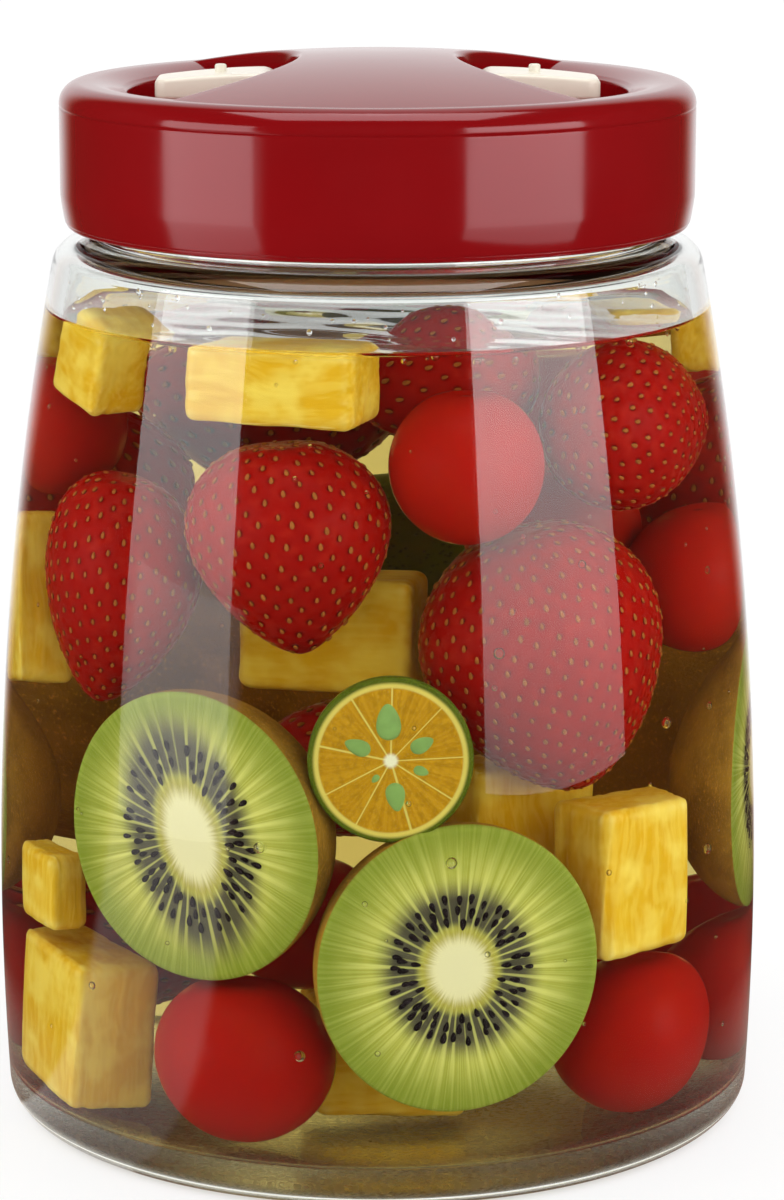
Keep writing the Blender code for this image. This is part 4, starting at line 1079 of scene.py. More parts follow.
def liner_shape():
    """Threaded liner: a disc, a skirt with its two-start thread inside, and a plug ring."""

    def standing(angle, radius, height):
        on_skirt = (np.abs(radius - LINER_INSIDE) < 1e-6) & (height > LINER_BOTTOM + 1e-5)
        return -np.where(on_skirt, thread_rise(angle, height, LINER_THREAD), 0.0)

    profile = np.vstack([
        [(0.0, LINER_UNDERSIDE), (PLUG_INSIDE, LINER_UNDERSIDE), (PLUG_INSIDE, PLUG_BOTTOM)],
        [(PLUG_RADIUS, PLUG_BOTTOM), (PLUG_RADIUS, LINER_UNDERSIDE)],
        straight((LINER_INSIDE, LINER_UNDERSIDE), (LINER_INSIDE, LINER_BOTTOM), 56),
        corner(LINER_RADIUS, LINER_BOTTOM, EASE, -90, 0, 3),
        corner(LINER_RADIUS, LINER_TOP, EASE, 0, 90, 3),
        [(0.0, LINER_TOP)],
    ])
    return lathe(profile, 200, standing=standing)


def box_of(node):
    """A node's bounds: half its width, its lowest and highest heights, and its middle."""
    low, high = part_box(node)
    middle = ((low[0] + high[0]) / 2, (low[1] + high[1]) / 2, 0.0)
    return (high[0] - low[0]) / 2, low[2], high[2], middle


def ring_shape(node, inner, ease, steps=160):
    """A flat ring as tall and wide as its node, with eased edges."""
    outer, low, high, middle = box_of(node)
    profile = np.vstack([
        corner(outer, low, ease, -90, 0, 3),
        corner(outer, high, ease, 0, 90, 3),
        corner(inner, high, ease, 90, 180, 3),
        corner(inner, low, ease, 180, 270, 3),
    ])
    return lathe(profile, steps, ring=True).placed(middle)


def collar_shape(node):
    """Silicone collar of a port: a flange on the recess floor and a sleeve through the lid."""
    flange, low, high, middle = box_of(node)
    sleeve = PORT_RADIUS - 0.0003
    bore = sleeve - 0.0011
    seat = RECESS_FLOOR + 0.0003
    profile = np.vstack([
        [(bore, low), (sleeve, low), (sleeve, seat)],
        corner(flange, seat, 0.0002, -90, 0, 3),
        corner(flange, high, EASE, 0, 90, 4),
        corner(bore, high, EASE, 90, 180, 4),
    ])
    return lathe(profile, 64, ring=True).placed(middle)


def stopper_shape(node):
    """Stopper under a lever: tapered plug, flange, and a stem whose rounded end shows on top."""
    flange, low, high, middle = box_of(node)
    top = LEVER_UNDERSIDE - 0.0003
    under = top - 0.0010
    stem = 0.0011
    profile = np.vstack([
        [(0.0, low)],
        corner(0.0022, low, EASE, -90, 0, 3),
        [(0.0033, under)],
        corner(flange, under, EASE, -90, 0, 3),
        corner(flange, top, EASE, 0, 90, 3),
        corner(stem, top, 0.0002, 270, 180, 2),
        corner(stem, high, 0.0004, 0, 90, 5),
        [(0.0, high)],
    ])
    return lathe(profile, 48).placed(middle)


def pin_shape(node, side):
    """Hinge pin across a lever: a rod with domed ends, turned and then laid along y."""
    low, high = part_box(node)
    radius, half = (high[2] - low[2]) / 2, (high[1] - low[1]) / 2
    profile = np.vstack([
        [(0.0, -half)],
        corner(radius, -half, EASE, -90, 0, 4),
        corner(radius, half, EASE, 0, 90, 4),
        [(0.0, half)],
    ])
    lay = np.array([[1.0, 0.0, 0.0], [0.0, 0.0, -1.0], [0.0, 1.0, 0.0]])
    return lathe(profile, 32).placed((side * PIVOT_OFFSET, 0.0, PIVOT_HEIGHT), lay)


def lever_shape(side, edge):
    """Flip lever as sections along it, each a rectangle with round corners.

    At x along the lever the half width narrows from the knuckle to the finger end, the top
    falls by fall (x / reach)^1.7, and behind the pin top and underside follow the knuckle's
    circle. At the finger end all sides draw in along quarter circles.
    """
    back = -KNUCKLE_RADIUS * np.cos(np.radians(np.linspace(9.0, 88.0, 14)))
    run = np.linspace(0.0006, LEVER_REACH - LEVER_PLAN_ROUND, 26)
    tip = LEVER_REACH - LEVER_PLAN_ROUND * (1 - np.sin(np.linspace(0.0, math.pi / 2, 12)))
    x = np.unique(np.concatenate([back, run, tip]))[:, None]
    ahead = np.clip(x / LEVER_REACH, 0.0, 1.0)
    circle = np.sqrt(np.clip(KNUCKLE_RADIUS**2 - x**2, 0.0, None))
    under = LEVER_UNDERSIDE - PIVOT_HEIGHT
    top = np.where(x < 0, circle, KNUCKLE_RADIUS - LEVER_FALL * ahead**1.7)
    low = np.where(x < 0, -circle, np.minimum(-circle, under))
    half = LEVER_HALF_WIDTH + (LEVER_END_HALF_WIDTH - LEVER_HALF_WIDTH) * ahead
    past = np.clip(x - (LEVER_REACH - LEVER_PLAN_ROUND), 0.0, LEVER_PLAN_ROUND)
    half = half - LEVER_PLAN_ROUND + np.sqrt(LEVER_PLAN_ROUND**2 - past**2)
    close = np.clip(x - (LEVER_REACH - edge), 0.0, edge)
    drawn = edge - np.sqrt(edge**2 - close**2)
    top, low = top - drawn, low + drawn * 0.6
    radius = np.minimum(edge, 0.49 * (top - low))
    turn = np.linspace(0.0, math.pi / 2, 6)[None, :]
    inset, sunk = radius * (1 - np.cos(turn)), radius * (1 - np.sin(turn))
    up_y, up_z = half - inset, top - sunk
    down_y, down_z = up_y[:, ::-1], low + sunk[:, ::-1]
    over = np.linspace(1.0, -1.0, 13)[None, 1:-1] * (half - radius)
    y = np.concatenate([up_y, over, -down_y, -up_y, -over, down_y], axis=1)
    flat_top, flat_low = np.broadcast_to(top, over.shape), np.broadcast_to(low, over.shape)
    z = np.concatenate([up_z, flat_top, up_z[:, ::-1], down_z[:, ::-1], flat_low, down_z], axis=1)
    rows = stacked(side * x + side * PIVOT_OFFSET, y, z + PIVOT_HEIGHT)
    return outward(closed_rows(rows, rows[0].mean(axis=0), rows[-1].mean(axis=0)))


# Fruit -------------------------------------------------------------------------------------------


def half_sizes(low, high, facets, short_axis):
    """Half a fruit's sizes, the short axis made up for its flat facets."""
    half = (high - low) / 2
    half[short_axis] /= math.cos(math.pi / facets)
    return half


def tomato_shape(node):
    """Cherry tomato: a ball with a shallow dimple where the stalk was and a faint lobing.

    At polar angle a from the stalk its radius is 1 - 0.10 exp(-(a / 0.30)^2) in the half
    sizes, less a share of a thousandth or two of a five-lobed wave.
    """
    turn, low, high = seat_of(node)
    half = half_sizes(low, high, BALL_FACETS, 1)
    polar, angle = np.linspace(math.pi, 0.0, 41)[1:-1, None], around(72)
    lobes = 0.004 * (1 + np.cos(5 * angle)) * np.sin(polar)
    reach = 1 - 0.10 * np.exp(-((polar / 0.30) ** 2)) - lobes
    x = np.sin(polar) * np.cos(angle) * reach
    y = np.sin(polar) * np.sin(angle) * reach
    rows = stacked(x, y, np.cos(polar) * reach) * half
    shape = closed_rows(rows, (0.0, 0.0, -half[2]), (0.0, 0.0, 0.9 * half[2]))
    return shape.placed(turn @ ((low + high) / 2), turn)


def berry_skin(share, angle, half, flatness, taper, reach):
    """Places on a strawberry at shares of its length from the stalk and at angles round it.

    The half width is sin(pi s)^0.55 (1 - taper s), scaled to the berry's.
    """
    scale = np.linspace(0.0, 1.0, 400)
    widest = (np.sin(np.pi * scale) ** 0.55 * (1 - taper * scale)).max()
    width = np.sin(np.pi * np.clip(share, 0, 1)) ** 0.55 * (1 - taper * share) * half / widest
    hollow = 0.10 * half * np.exp(-((width / half) ** 2) * 9) * (share < 0.5)
    up = reach * (0.5 - share) - hollow
    return stacked(width * np.cos(angle), width * np.sin(angle) * flatness, up)


def berry_shape(node, dimple):
    """Strawberry with a dimple for each seed, and the seeds in them.

    The seeds follow a spiral whose turns are a golden angle apart and whose places along the
    berry share its area out evenly. The skin is pulled in by depth exp(-(d / spread)^2) of the
    distance d to the nearest seed.
    """
    turn, low, high = seat_of(node)
    half_width = (high[0] - low[0]) / 2
    flatness = (high[1] - low[1]) / (high[0] - low[0]) / math.cos(math.pi / BALL_FACETS)
    taper = 0.28 if node == "strawberry_right" else 0.42
    args = (half_width, flatness, taper, high[2] - low[2])
    fine = np.linspace(0.004, 0.996, 600)
    line = berry_skin(fine, 0.0, *args)
    steps = np.linalg.norm(np.diff(line, axis=0), axis=1)
    area = np.concatenate([[0.0], np.cumsum(steps * (line[1:, 0] + line[:-1, 0]) / 2)])
    count = int(area[-1] * 2 * math.pi * (1 + flatness) / 2 / 0.0034**2)
    share = np.interp((np.arange(count) + 0.5) / count * area[-1], area, fine)
    angle = np.arange(count) * math.pi * (3 - math.sqrt(5))
    rng = np.random.default_rng(len(node))
    share = np.clip(share + rng.normal(0, 0.006, count), 0.01, 0.985)
    centres = berry_skin(share, angle, *args)
    ahead = unit(berry_skin(np.clip(share + 0.004, 0, 1), angle, *args) - centres)
    out = unit(np.cross(ahead, berry_skin(share, angle + 0.01, *args) - centres))
    out *= np.sign(np.einsum("ij,ij->i", out, centres * (1, 1, 0.2)))[:, None]

    rows = (1 - np.cos(math.pi * np.linspace(0.0, 1.0, 97)[1:-1])) / 2
    skin = berry_skin(rows[:, None], around(168), *args)
    points = skin.reshape(-1, 3)
    nearest = np.full(len(points), 1.0)
    for start in range(0, count, 40):
        apart = np.linalg.norm(points[:, None] - centres[None, start:start + 40], axis=2)
        nearest = np.minimum(nearest, apart.min(axis=1))
    sunk = np.exp(-((nearest / 0.00078) ** 2))
    wave = 0.00022 * ripple(points, half_width * 1.1, len(node) * 7)
    drawn = dimple * sunk + 0.0002 + np.abs(wave)
    tops = (points - unit(points * (1.0, 1.0, 0.6)) * drawn[:, None]).reshape(skin.shape)
    flesh = closed_rows(tops, tops[0].mean(axis=0), tops[-1].mean(axis=0))
    sunk = np.append(sunk, [0.0, 0.0])
    flesh.own = stacked(sunk, 0.0, np.append(np.repeat(rows, skin.shape[1]), [0.0, 1.0]))
    sizes = np.array([0.00036, 0.00024, 0.00064]) * rng.uniform(0.85, 1.15, (count, 1))
    seeds = scattered(pebble(8, 6, 0.25), centres - out * dimple * 0.92, -ahead, out, sizes, 1)
    return joined([outward(flesh), seeds]).placed(turn @ ((low + high) / 2), turn)


def cube_skin(half, edge, count):
    """A box with round edges: six grids whose points are eased onto it and welded.

    A point p of the box goes to q + edge (p - q) / |p - q|, where q is p held inside the box
    that is smaller by the edge all round.
    """
    reach = math.pi / 2 * 0.94
    share = np.sin(np.linspace(-1.0, 1.0, count) * reach) / math.sin(reach)
    u, v = np.meshgrid(share, share, indexing="ij")
    grids, faces = [], []
    quads = np.arange(count * count).reshape(count, count)
    block = np.stack([quads[:-1, :-1], quads[1:, :-1], quads[1:, 1:], quads[:-1, 1:]], axis=-1)
    block = block.reshape(-1, 4)
    for axis in range(3):
        for side in (-1.0, 1.0):
            grid = np.empty((count, count, 3))
            grid[..., axis] = side
            grid[..., (axis + 1) % 3] = u
            grid[..., (axis + 2) % 3] = v
            faces.append((block if side > 0 else block[:, ::-1]) + len(grids) * count * count)
            grids.append(grid.reshape(-1, 3))
    points = np.concatenate(grids) * half
    inner = np.clip(points, -(half - edge), half - edge)
    away = points - inner
    points = inner + edge * away / np.maximum(np.linalg.norm(away, axis=1, keepdims=True), 1e-12)
    _, first, weld = np.unique(
        np.round(points / 1e-7).astype(np.int64), axis=0, return_index=True, return_inverse=True
    )
    return points[first], weld.reshape(-1)[np.concatenate(faces)]


def chunk_shape(node):
    """Pineapple chunk: a box with soft edges, slightly crooked, furrowed along its fibres.

    Each corner region is drawn in by up to a share of the chunk, and the skin sinks by a wave
    that changes fast across the fibres and slowly along them.
    """
    turn, low, high = seat_of(node)
    half = (high - low) / 2
    points, quads = cube_skin(half, min(0.0022, half.min() * 0.4), 30)
    seed = seed_of(node)
    narrow = np.random.default_rng(seed).uniform(0.90, 1.0, (3, 2))
    share = (points / half + 1) / 2
    for axis in range(3):
        start, end = narrow[axis]
        points[:, axis] *= start + (end - start) * share[:, (axis + 1) % 3]
    along = int(np.argmax(half))
    stretch = np.ones(3)
    stretch[along] = 0.12
    squeezed = points * stretch
    furrow = ripple(squeezed, 0.0026, seed) * 0.5 + ripple(squeezed, 0.0055, seed + 1) * 0.5
    deep = 0.00042 * np.abs(furrow) + 0.0003 * np.abs(ripple(points, 0.014, seed + 2))
    points -= unit(points / half) * deep[:, None]
    order = [along, (along + 1) % 3, (along + 2) % 3]
    own = points[:, order] + np.array([seed * 0.013, seed * 0.007, 0.0])
    shape = outward(Shape(points, [quads], 0, own))
    return shape.placed(turn @ ((low + high) / 2), turn)


def half_shape(low, high, ease, relief, columns):
    """Half a fruit: a cut face towards -y with a rounded rim, and a dome behind it.

    The face's point at share r of the way out is (a r cos t, y, b r sin t); relief(x, z) is the
    height of the face there as a share. The dome's point at angle s is a cos s and b cos s
    wide and depth sin s deep. Own coordinates are shares of the half sizes.
    """
    half = half_sizes(low, high, HALF_FACETS, 2)
    depth = high[1] - low[1]
    angle = around(columns)
    rim = 1 - 0.05 * (1 - np.sin(np.linspace(0.2, 1.5, 5)))
    face = np.concatenate([np.linspace(0.03, 0.95, 30), rim])[:, None]
    past = np.clip((face - 0.95) / 0.05, 0.0, 1.0)
    sink = ease * (1 - np.sqrt(np.clip(1 - past**2, 0.0, 1.0)))
    x, z = face * np.cos(angle), face * np.sin(angle)
    y = sink + relief(x, z) * np.clip((0.97 - face) / 0.1, 0, 1)
    way = np.linspace(math.asin(min(0.9, ease / depth)), math.pi / 2 * 0.985, 30)[:, None]
    wide = np.cos(way) / math.cos(way[0, 0])
    dome = stacked(
        wide * np.cos(angle) * half[0], depth * np.sin(way), wide * np.sin(angle) * half[2]
    )
    rows = np.concatenate([stacked(x * half[0], y, z * half[2]), dome])
    shape = closed_rows(rows, (0.0, float(relief(0.0, 0.0)), 0.0), (0.0, depth, 0.0))
    quads, first, last = shape.faces
    split = (len(face) - 1) * columns
    shape = Shape(shape.points, [first, quads[:split], quads[split:], last], [0, 0, 1, 1])
    shape.own = shape.points / np.array([half[0], depth, half[2]])
    return outward(shape), half


def with_seeds(node, shape, half, seed, places, lift, inwards, sizes):
    """A half with seeds that lie on its face, each in line with the face's middle, set in place.

    inwards is -1 for seeds that point to the middle and 1 for those that point away from it.
    """
    centres = stacked(places[:, 0] * half[0], lift, places[:, 1] * half[2])
    along = unit(centres * (inwards, 0.0, inwards))
    seeds = scattered(seed, centres, along, same([0.0, -1.0, 0.0], len(places)), sizes, 2)
    turn, low, high = seat_of(node)
    middle = (low + high) / 2
    middle[1] = low[1]
    return joined([shape, seeds]).placed(turn @ middle, turn)


def core_way(x, z, core):
    """The way from the middle of a cut kiwi to its core's oval edge, 1 at the edge."""
    wide, tall, tilt = core
    c, s = math.cos(math.radians(tilt)), math.sin(math.radians(tilt))
    return np.hypot((x * c + z * s) / wide, (-x * s + z * c) / tall)


def kiwi_shape(node):
    """Kiwi half: the core stands a little proud, and seeds lie in uneven rings round it.

    A seed's place is on the core's oval grown by its ring's factor, and it points outwards.
    """
    low, high = seat_of(node)[1:]
    core = CORES.get(node, ROUND_CORE)

    def relief(x, z):
        return 0.00018 * np.exp(-((core_way(x, z, core) - 1.6) / 0.45) ** 2)

    shape, half = half_shape(low, high, 0.0006, relief, 132)
    on_face = np.unique(np.concatenate([block.ravel() for block in shape.faces[:2]]))
    shape.own[on_face, 1] = core_way(shape.own[on_face, 0], shape.own[on_face, 2], core)
    rng = np.random.default_rng(seed_of(node))
    places, lengths = [], []
    for grow, count in SEED_RINGS:
        angle = (np.arange(count) + rng.uniform(-0.28, 0.28, count)) / count * 2 * math.pi
        x, z = np.cos(angle), np.sin(angle)
        past = (grow - 1 + rng.uniform(-0.10, 0.10, count)) * 0.5 * (core[0] + core[1])
        reach = 1 / core_way(x, z, core) + past
        keep = rng.uniform(size=count) < (0.80 if grow < 1.5 else 0.96)
        places.append(np.column_stack([x * reach, z * reach])[keep])
        lengths.append(rng.uniform(0.85, 1.15, keep.sum()))
    sizes = np.concatenate(lengths)[:, None] * np.array([0.00050, 0.00036, 0.00100])
    place = np.concatenate(places)
    return with_seeds(node, shape, half, pebble(8, 6, -0.35), place, -0.00012, 1.0, sizes)


def calamondin_shape(node):
    """Calamondin half: its cut segments bulge a little, and pale pips lie between them."""

    def relief(x, z):
        angle = np.arctan2(z, x)
        return 0.00016 * (1 - np.abs(np.sin(4.5 * angle))) * np.hypot(x, z)

    low, high = seat_of(node)[1:]
    shape, half = half_shape(low, high, 0.0007, relief, 108)
    sizes = PIPS[:, 2:] * half[0] * np.array([0.62, 0.26, 1.0])
    return with_seeds(node, shape, half, pebble(20, 14, -0.30), PIPS, 0.0002, -1.0, sizes)


# Liquid ------------------------------------------------------------------------------------------


def liquid_shape():
    """The liquid, its sides just inside the glass, its top rising to the wall in a meniscus.

    At distance d from the wall the meniscus stands rise * exp(-d / length) high, and slow waves a
    quarter of a millimetre high cross the rest. Own x is 0 on the open top and 1 elsewhere.
    """
    floor_z, bottom = FLOOR + FLOOR_ROUND, FLOOR - WALL_OVERLAP
    floor_r, tilt = side_round(WALL, FLOOR_ROUND, floor_z)
    base = straight((0.0, bottom), (floor_r, bottom), 10)
    foot = arc(floor_r, floor_z, FLOOR_ROUND + WALL_OVERLAP, -90, tilt, 14)
    side = side_points(foot[-1, 1], RIM_WET, WALL - WALL_OVERLAP, 60)
    wall = float(side_radius(RIM_WET, WALL))
    far = np.linspace(0.008, wall - 0.002, 26)
    away = np.concatenate([[0.0], np.geomspace(0.0001, 0.006, 18), far])
    rise = MENISCUS_RISE * np.exp(-away / MENISCUS_LENGTH)
    top = np.column_stack([wall - away, LIQUID_TOP + rise])
    shape = lathe(np.vstack([base, foot, side, top, [(0.0, LIQUID_TOP)]]), 160)
    radius = np.hypot(shape.points[:, 0], shape.points[:, 1])
    open_top = (shape.points[:, 2] > LIQUID_TOP - 1e-6) & (radius < wall + 1e-6)
    wave = 0.00028 * ripple(shape.points * (1, 1, 0), 0.014, 5)
    shape.points[:, 2] += np.where(open_top, wave * np.clip((wall - radius) / 0.006, 0, 1), 0.0)
    shape.own = stacked(1.0 - open_top, 0.0, 0.0)
    return shape


def bubble_places(count):
    """Centres and radii of bubbles: against the glass, under the surface and on the floor.

    Each is kept only where it is clear of all fruit by a tenth of its radius.
    """
    rng = np.random.default_rng(42)
    trees = []
    for node in TURNS:
        faces = [tuple(face.vertices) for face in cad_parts[node].data.polygons]
        trees.append(BVHTree.FromPolygons(node_points(node).tolist(), faces))
    sizes, chances = [0.00032, 0.00042, 0.00056, 0.0008, 0.0011], [0.3, 0.3, 0.2, 0.13, 0.07]
    kept = []
    for _ in range(count * 6):
        if len(kept) >= count:
            break
        radius = float(rng.choice(sizes, p=chances))
        angle = rng.uniform(0.0, 2 * math.pi)
        kind = rng.uniform()
        afloat = kind < 0.28
        height = LIQUID_TOP - radius * 1.3 if afloat else rng.uniform(0.012, LIQUID_TOP - 0.002)
        reach = float(side_radius(height, WALL)) - radius - 0.0001
        if height < FLOOR + FLOOR_ROUND + 0.002:
            reach -= 0.003
        if afloat:
            reach -= rng.uniform(0.0, 0.010)
        elif kind < 0.42:
            reach -= rng.uniform(0.001, 0.014)
        place = Vector((reach * math.cos(angle), reach * math.sin(angle), height))
        if all(tree.find_nearest(place)[3] > radius * 1.1 for tree in trees):
            kept.append((*place, radius))
    return np.array(kept)


def bubble_shape(count):
    """All bubbles as small balls."""
    places = bubble_places(count)
    if not len(places):
        raise ValueError("no bubble has room between the fruit")
    ups, fronts = same([0.0, 0.0, 1.0], len(places)), same([0.0, -1.0, 0.0], len(places))
    sizes = np.repeat(places[:, 3:], 3, axis=1)
    return scattered(pebble(14, 10), places[:, :3], ups, fronts, sizes)


def bead_shape(count):
    """Beads of liquid on the dry wall over the surface, flattened against the glass."""
    rng = np.random.default_rng(7)
    angle = rng.uniform(0.0, 2 * math.pi, count)
    height = rng.uniform(LIQUID_TOP + 0.0035, SHOULDER_TOP - WALL - 0.0012, count)
    size = rng.choice([0.00025, 0.00035, 0.0005], count, p=[0.5, 0.3, 0.2])
    way = stacked(np.sin(angle), -np.cos(angle), 0.0)
    centres = way * (side_radius(height, WALL) - 0.55 * size)[:, None] + stacked(0.0, 0.0, height)
    ups, sizes = same([0.0, 0.0, 1.0], count), size[:, None] * (1.0, 0.5, 1.25)
    return scattered(pebble(12, 8), centres, ups, way, sizes)


# Operators ---------------------------------------------------------------------------------------


class JAR_OT_glass(bpy.types.Operator):
    """Makes the clear glass jar with its screw thread"""

    bl_idname = "jar.glass"
    bl_label = "Glass jar"

    def execute(self, context):
        settings = context.scene.jar_glass
        tone, index, shadow = settings.glass, settings.refraction, (0.97, 0.98, 0.975)
        wetted = index / context.scene.jar_liquid.refraction
        glass = Finish("clear_glass").clear(tone, index, shadow)
        wet = Finish("wetted_glass").clear(tone, wetted, WHITE)
        foot = Finish("pressed_foot").clear(settings.foot, index, shadow)
        foot.give({"Roughness": foot.rough(foot.noise(foot.place(), 900.0, 3.0), 0.22, 0.34)})
        foot.bump(foot.noise(foot.place(), 120.0), 0.05, 0.0003)
        finishes = [finish.material for finish in (glass, wet, foot)]
        shape = glass_shape(settings.facets)
        nodes, sharp = ["glass_jar"], math.radians(60)
        make_piece("jar_glass", shape, finishes, "jar", nodes, sharp)
        return {"FINISHED"}


class JAR_OT_lid(bpy.types.Operator):
    """Makes the red shell of the lid, with its grip and the ears that hold the levers' pins"""

    bl_idname = "jar.lid"
    bl_label = "Lid"

    def execute(self, context):
        settings = context.scene.jar_lid
        red = plastic_finish("red_plastic", settings.red, 0.82, 0.11, 0.02, 0.000012)
        mirror = red.node_tree.nodes["Principled BSDF"].inputs
        mirror["Specular IOR Level"].default_value = 0.42
        mirror["Specular Tint"].default_value = (1.0, 0.82, 0.86, 1.0)
        ears = [ear_shape(side, edge) for side in (-1, 1) for edge in (-1, 1)]
        shapes = {
            "lid_shell": lathe(lid_shell_profile(settings.parting), 256),
            "lid_grip": grip_shape(settings.grip_edge),
            "lid_ears": joined(ears),
        }
        for name, shape in shapes.items():
            piece = make_piece(name, shape, [red], "cap", ["cap_shell"])
            if name == "lid_shell":
                cut_ports(piece)
        return {"FINISHED"}


class JAR_OT_seals(bpy.types.Operator):
    """Makes the threaded liner, the sealing ring at the mouth and the collars of the ports"""

    bl_idname = "jar.seals"
    bl_label = "Liner and seals"

    def execute(self, context):
        settings = context.scene.jar_lid
        cream = plastic_finish("liner_plastic", settings.liner, 0.9, 0.35)
        soft = plastic_finish("seal_silicone", settings.silicone, 0.88, 0.42)
        cut_ports(
            make_piece("lid_liner", liner_shape(), [cream], "cap", ["cap_liner"])
        )
        ring = ring_shape("mouth_gasket", PLUG_RADIUS + 0.0003, EASE)
        make_piece("sealing_ring", ring, [soft], "seal_ring", ["mouth_gasket"])
        for label in ("left", "right"):
            node = f"vent_seat_{label}"
            collar = collar_shape(node)
            make_piece(f"port_collar_{label}", collar, [soft], "cap", [node])
        return {"FINISHED"}


class JAR_OT_levers(bpy.types.Operator):
    """Makes the two flip levers with their stoppers and hinge pins"""

    bl_idname = "jar.levers"
    bl_label = "Levers"

    def execute(self, context):
        settings = context.scene.jar_lid
        cream = plastic_finish("lever_plastic", settings.cream, 0.95, 0.26)
        soft = plastic_finish("stopper_silicone", settings.silicone, 0.9, 0.4)
        steel = steel_finish(settings.steel)
        for label, side in (("left", -1), ("right", 1)):
            body, lever = f"{label}_lever", f"vent_lever_{label}"
            stopper, pin = f"vent_stopper_{label}", f"hinge_pin_{label}"
            shape = lever_shape(side, settings.lever_edge)
            make_piece(f"flip_lever_{label}", shape, [cream], body, [lever])
            shape = stopper_shape(stopper)
            make_piece(f"stopper_{label}", shape, [soft], body, [stopper])
            make_piece(f"pin_{label}", pin_shape(pin, side), [steel], "cap", [pin])
        return {"FINISHED"}


def make_fruit(kind, shape_of, finishes):
    """Makes a finished piece for every node of one kind of fruit."""
    for node in TURNS:
        if node.startswith(kind):
            make_piece(f"whole_{node}", shape_of(node), finishes, "jar", [node])
    return {"FINISHED"}


class JAR_OT_tomatoes(bpy.types.Operator):
    """Makes the cherry tomatoes"""

    bl_idname = "jar.tomatoes"
    bl_label = "Cherry tomatoes"

    def execute(self, context):
        skin = tomato_finish(context.scene.jar_fruit)
        return make_fruit("cherry_tomato", tomato_shape, [skin])


class JAR_OT_berries(bpy.types.Operator):
    """Makes the strawberries with their dimples and seeds"""

    bl_idname = "jar.berries"
    bl_label = "Strawberries"

    def execute(self, context):
        settings = context.scene.jar_fruit
        seed = speckled_finish("strawberry_seed", settings.achene, 0.60, 0.3)

        def shape_of(node):
            return berry_shape(node, settings.dimple)

        return make_fruit("strawberry", shape_of, [berry_finish(settings), seed])


class JAR_OT_chunks(bpy.types.Operator):
    """Makes the pineapple chunks"""

    bl_idname = "jar.chunks"
    bl_label = "Pineapple chunks"

    def execute(self, context):
        flesh = pineapple_finish(context.scene.jar_fruit)
        return make_fruit("pineapple", chunk_shape, [flesh])


class JAR_OT_kiwis(bpy.types.Operator):
    """Makes the kiwi halves with their seeds"""

    bl_idname = "jar.kiwis"
    bl_label = "Kiwi halves"

    def execute(self, context):
        settings = context.scene.jar_fruit
        seed = speckled_finish("kiwi_seed", settings.kiwi_seed, 2.0, 0.2)
        finishes = [kiwi_flesh_finish(settings), kiwi_skin_finish(settings), seed]
        return make_fruit("kiwi_half", kiwi_shape, finishes)


class JAR_OT_citrus(bpy.types.Operator):
    """Makes the calamondin halves with their pips"""

    bl_idname = "jar.citrus"
    bl_label = "Calamondin halves"

    def execute(self, context):
        settings = context.scene.jar_fruit
        pip = speckled_finish("calamondin_pip", settings.pip, 0.8, 0.25, 300.0)
        finishes = [citrus_flesh_finish(settings), rind_finish(settings), pip]
        return make_fruit("calamondin", calamondin_shape, finishes)


class JAR_OT_liquid(bpy.types.Operator):
    """Makes the clear liquid round the fruit, and the small bubbles in it"""

    bl_idname = "jar.liquid"
    bl_label = "Liquid"

    def execute(self, context):
        settings = context.scene.jar_liquid
        index, shadow = settings.refraction, (0.97, 0.97, 0.97)
        syrup = Finish("syrup")
        unseen = syrup.math("GREATER_THAN", syrup.parts(syrup.own())["X"], 0.001)
        syrup.clear(WHITE, index, WHITE, unseen)
        depth = {"Color": settings.depth, "Density": settings.density}
        absorb = syrup.add("ShaderNodeVolumeAbsorption", depth).outputs[0]
        syrup.set(syrup.tree.nodes["Material Output"].inputs["Volume"], absorb)
        air = Finish("bubble_air").clear(WHITE, 1 / index, shadow)
        water = Finish("clear_bead").clear(WHITE, index, shadow)
        for name, shape, finish, degrees in (
            ("liquid", liquid_shape(), syrup, 60),
            ("bubbles", bubble_shape(settings.bubbles), air, 80),
            ("beads", bead_shape(settings.beads), water, 80),
        ):
            make_piece(name, shape, [finish.material], "jar", sharp_angle=math.radians(degrees))
        return {"FINISHED"}


# Stage -------------------------------------------------------------------------------------------


def softbox(name, power, place, aim, width, height):
    """A rectangular lamp that looks at a point. power is its radiance, where white paper is 1."""
    lamp = bpy.data.lights.new(name, "AREA")
    lamp.shape = "RECTANGLE"
    lamp.size, lamp.size_y = width, height
    lamp.energy = power * math.pi * width * height
    obj = bpy.data.objects.new(name, lamp)
    bpy.context.scene.collection.objects.link(obj)
    aimed = (Vector(aim) - Vector(place)).to_track_quat("-Z", "Y").to_matrix().to_4x4()
    obj.matrix_world = Matrix.Translation(place) @ aimed
    obj.visible_camera = False
    return obj


def card(name, settings, first, last, bottom, low, high):
    """An upright softbox that covers the azimuths first to last, seen from the jar's axis.

    It goes from low times its power at its lower edge to high times that at its upper edge.
    """
    reach, top = settings.reach, 0.30
    azimuth = math.radians((first + last) / 2)
    width = 2 * reach * math.tan(math.radians(abs(last - first) / 2))
    height = (bottom + top) / 2
    place = (reach * math.sin(azimuth), -reach * math.cos(azimuth), height)
    box = softbox(name, settings.cards, place, (0.0, 0.0, height), width, top - bottom)
    box.data.use_nodes = True
    wire = Wiring(box.data.node_tree)
    up = wire.parts(wire.geometry("Parametric"))["Y"]
    strength = wire.between(up, 0.0, 0.75, low, high)
    wire.set(wire.tree.nodes["Emission"].inputs["Strength"], strength)
    return box


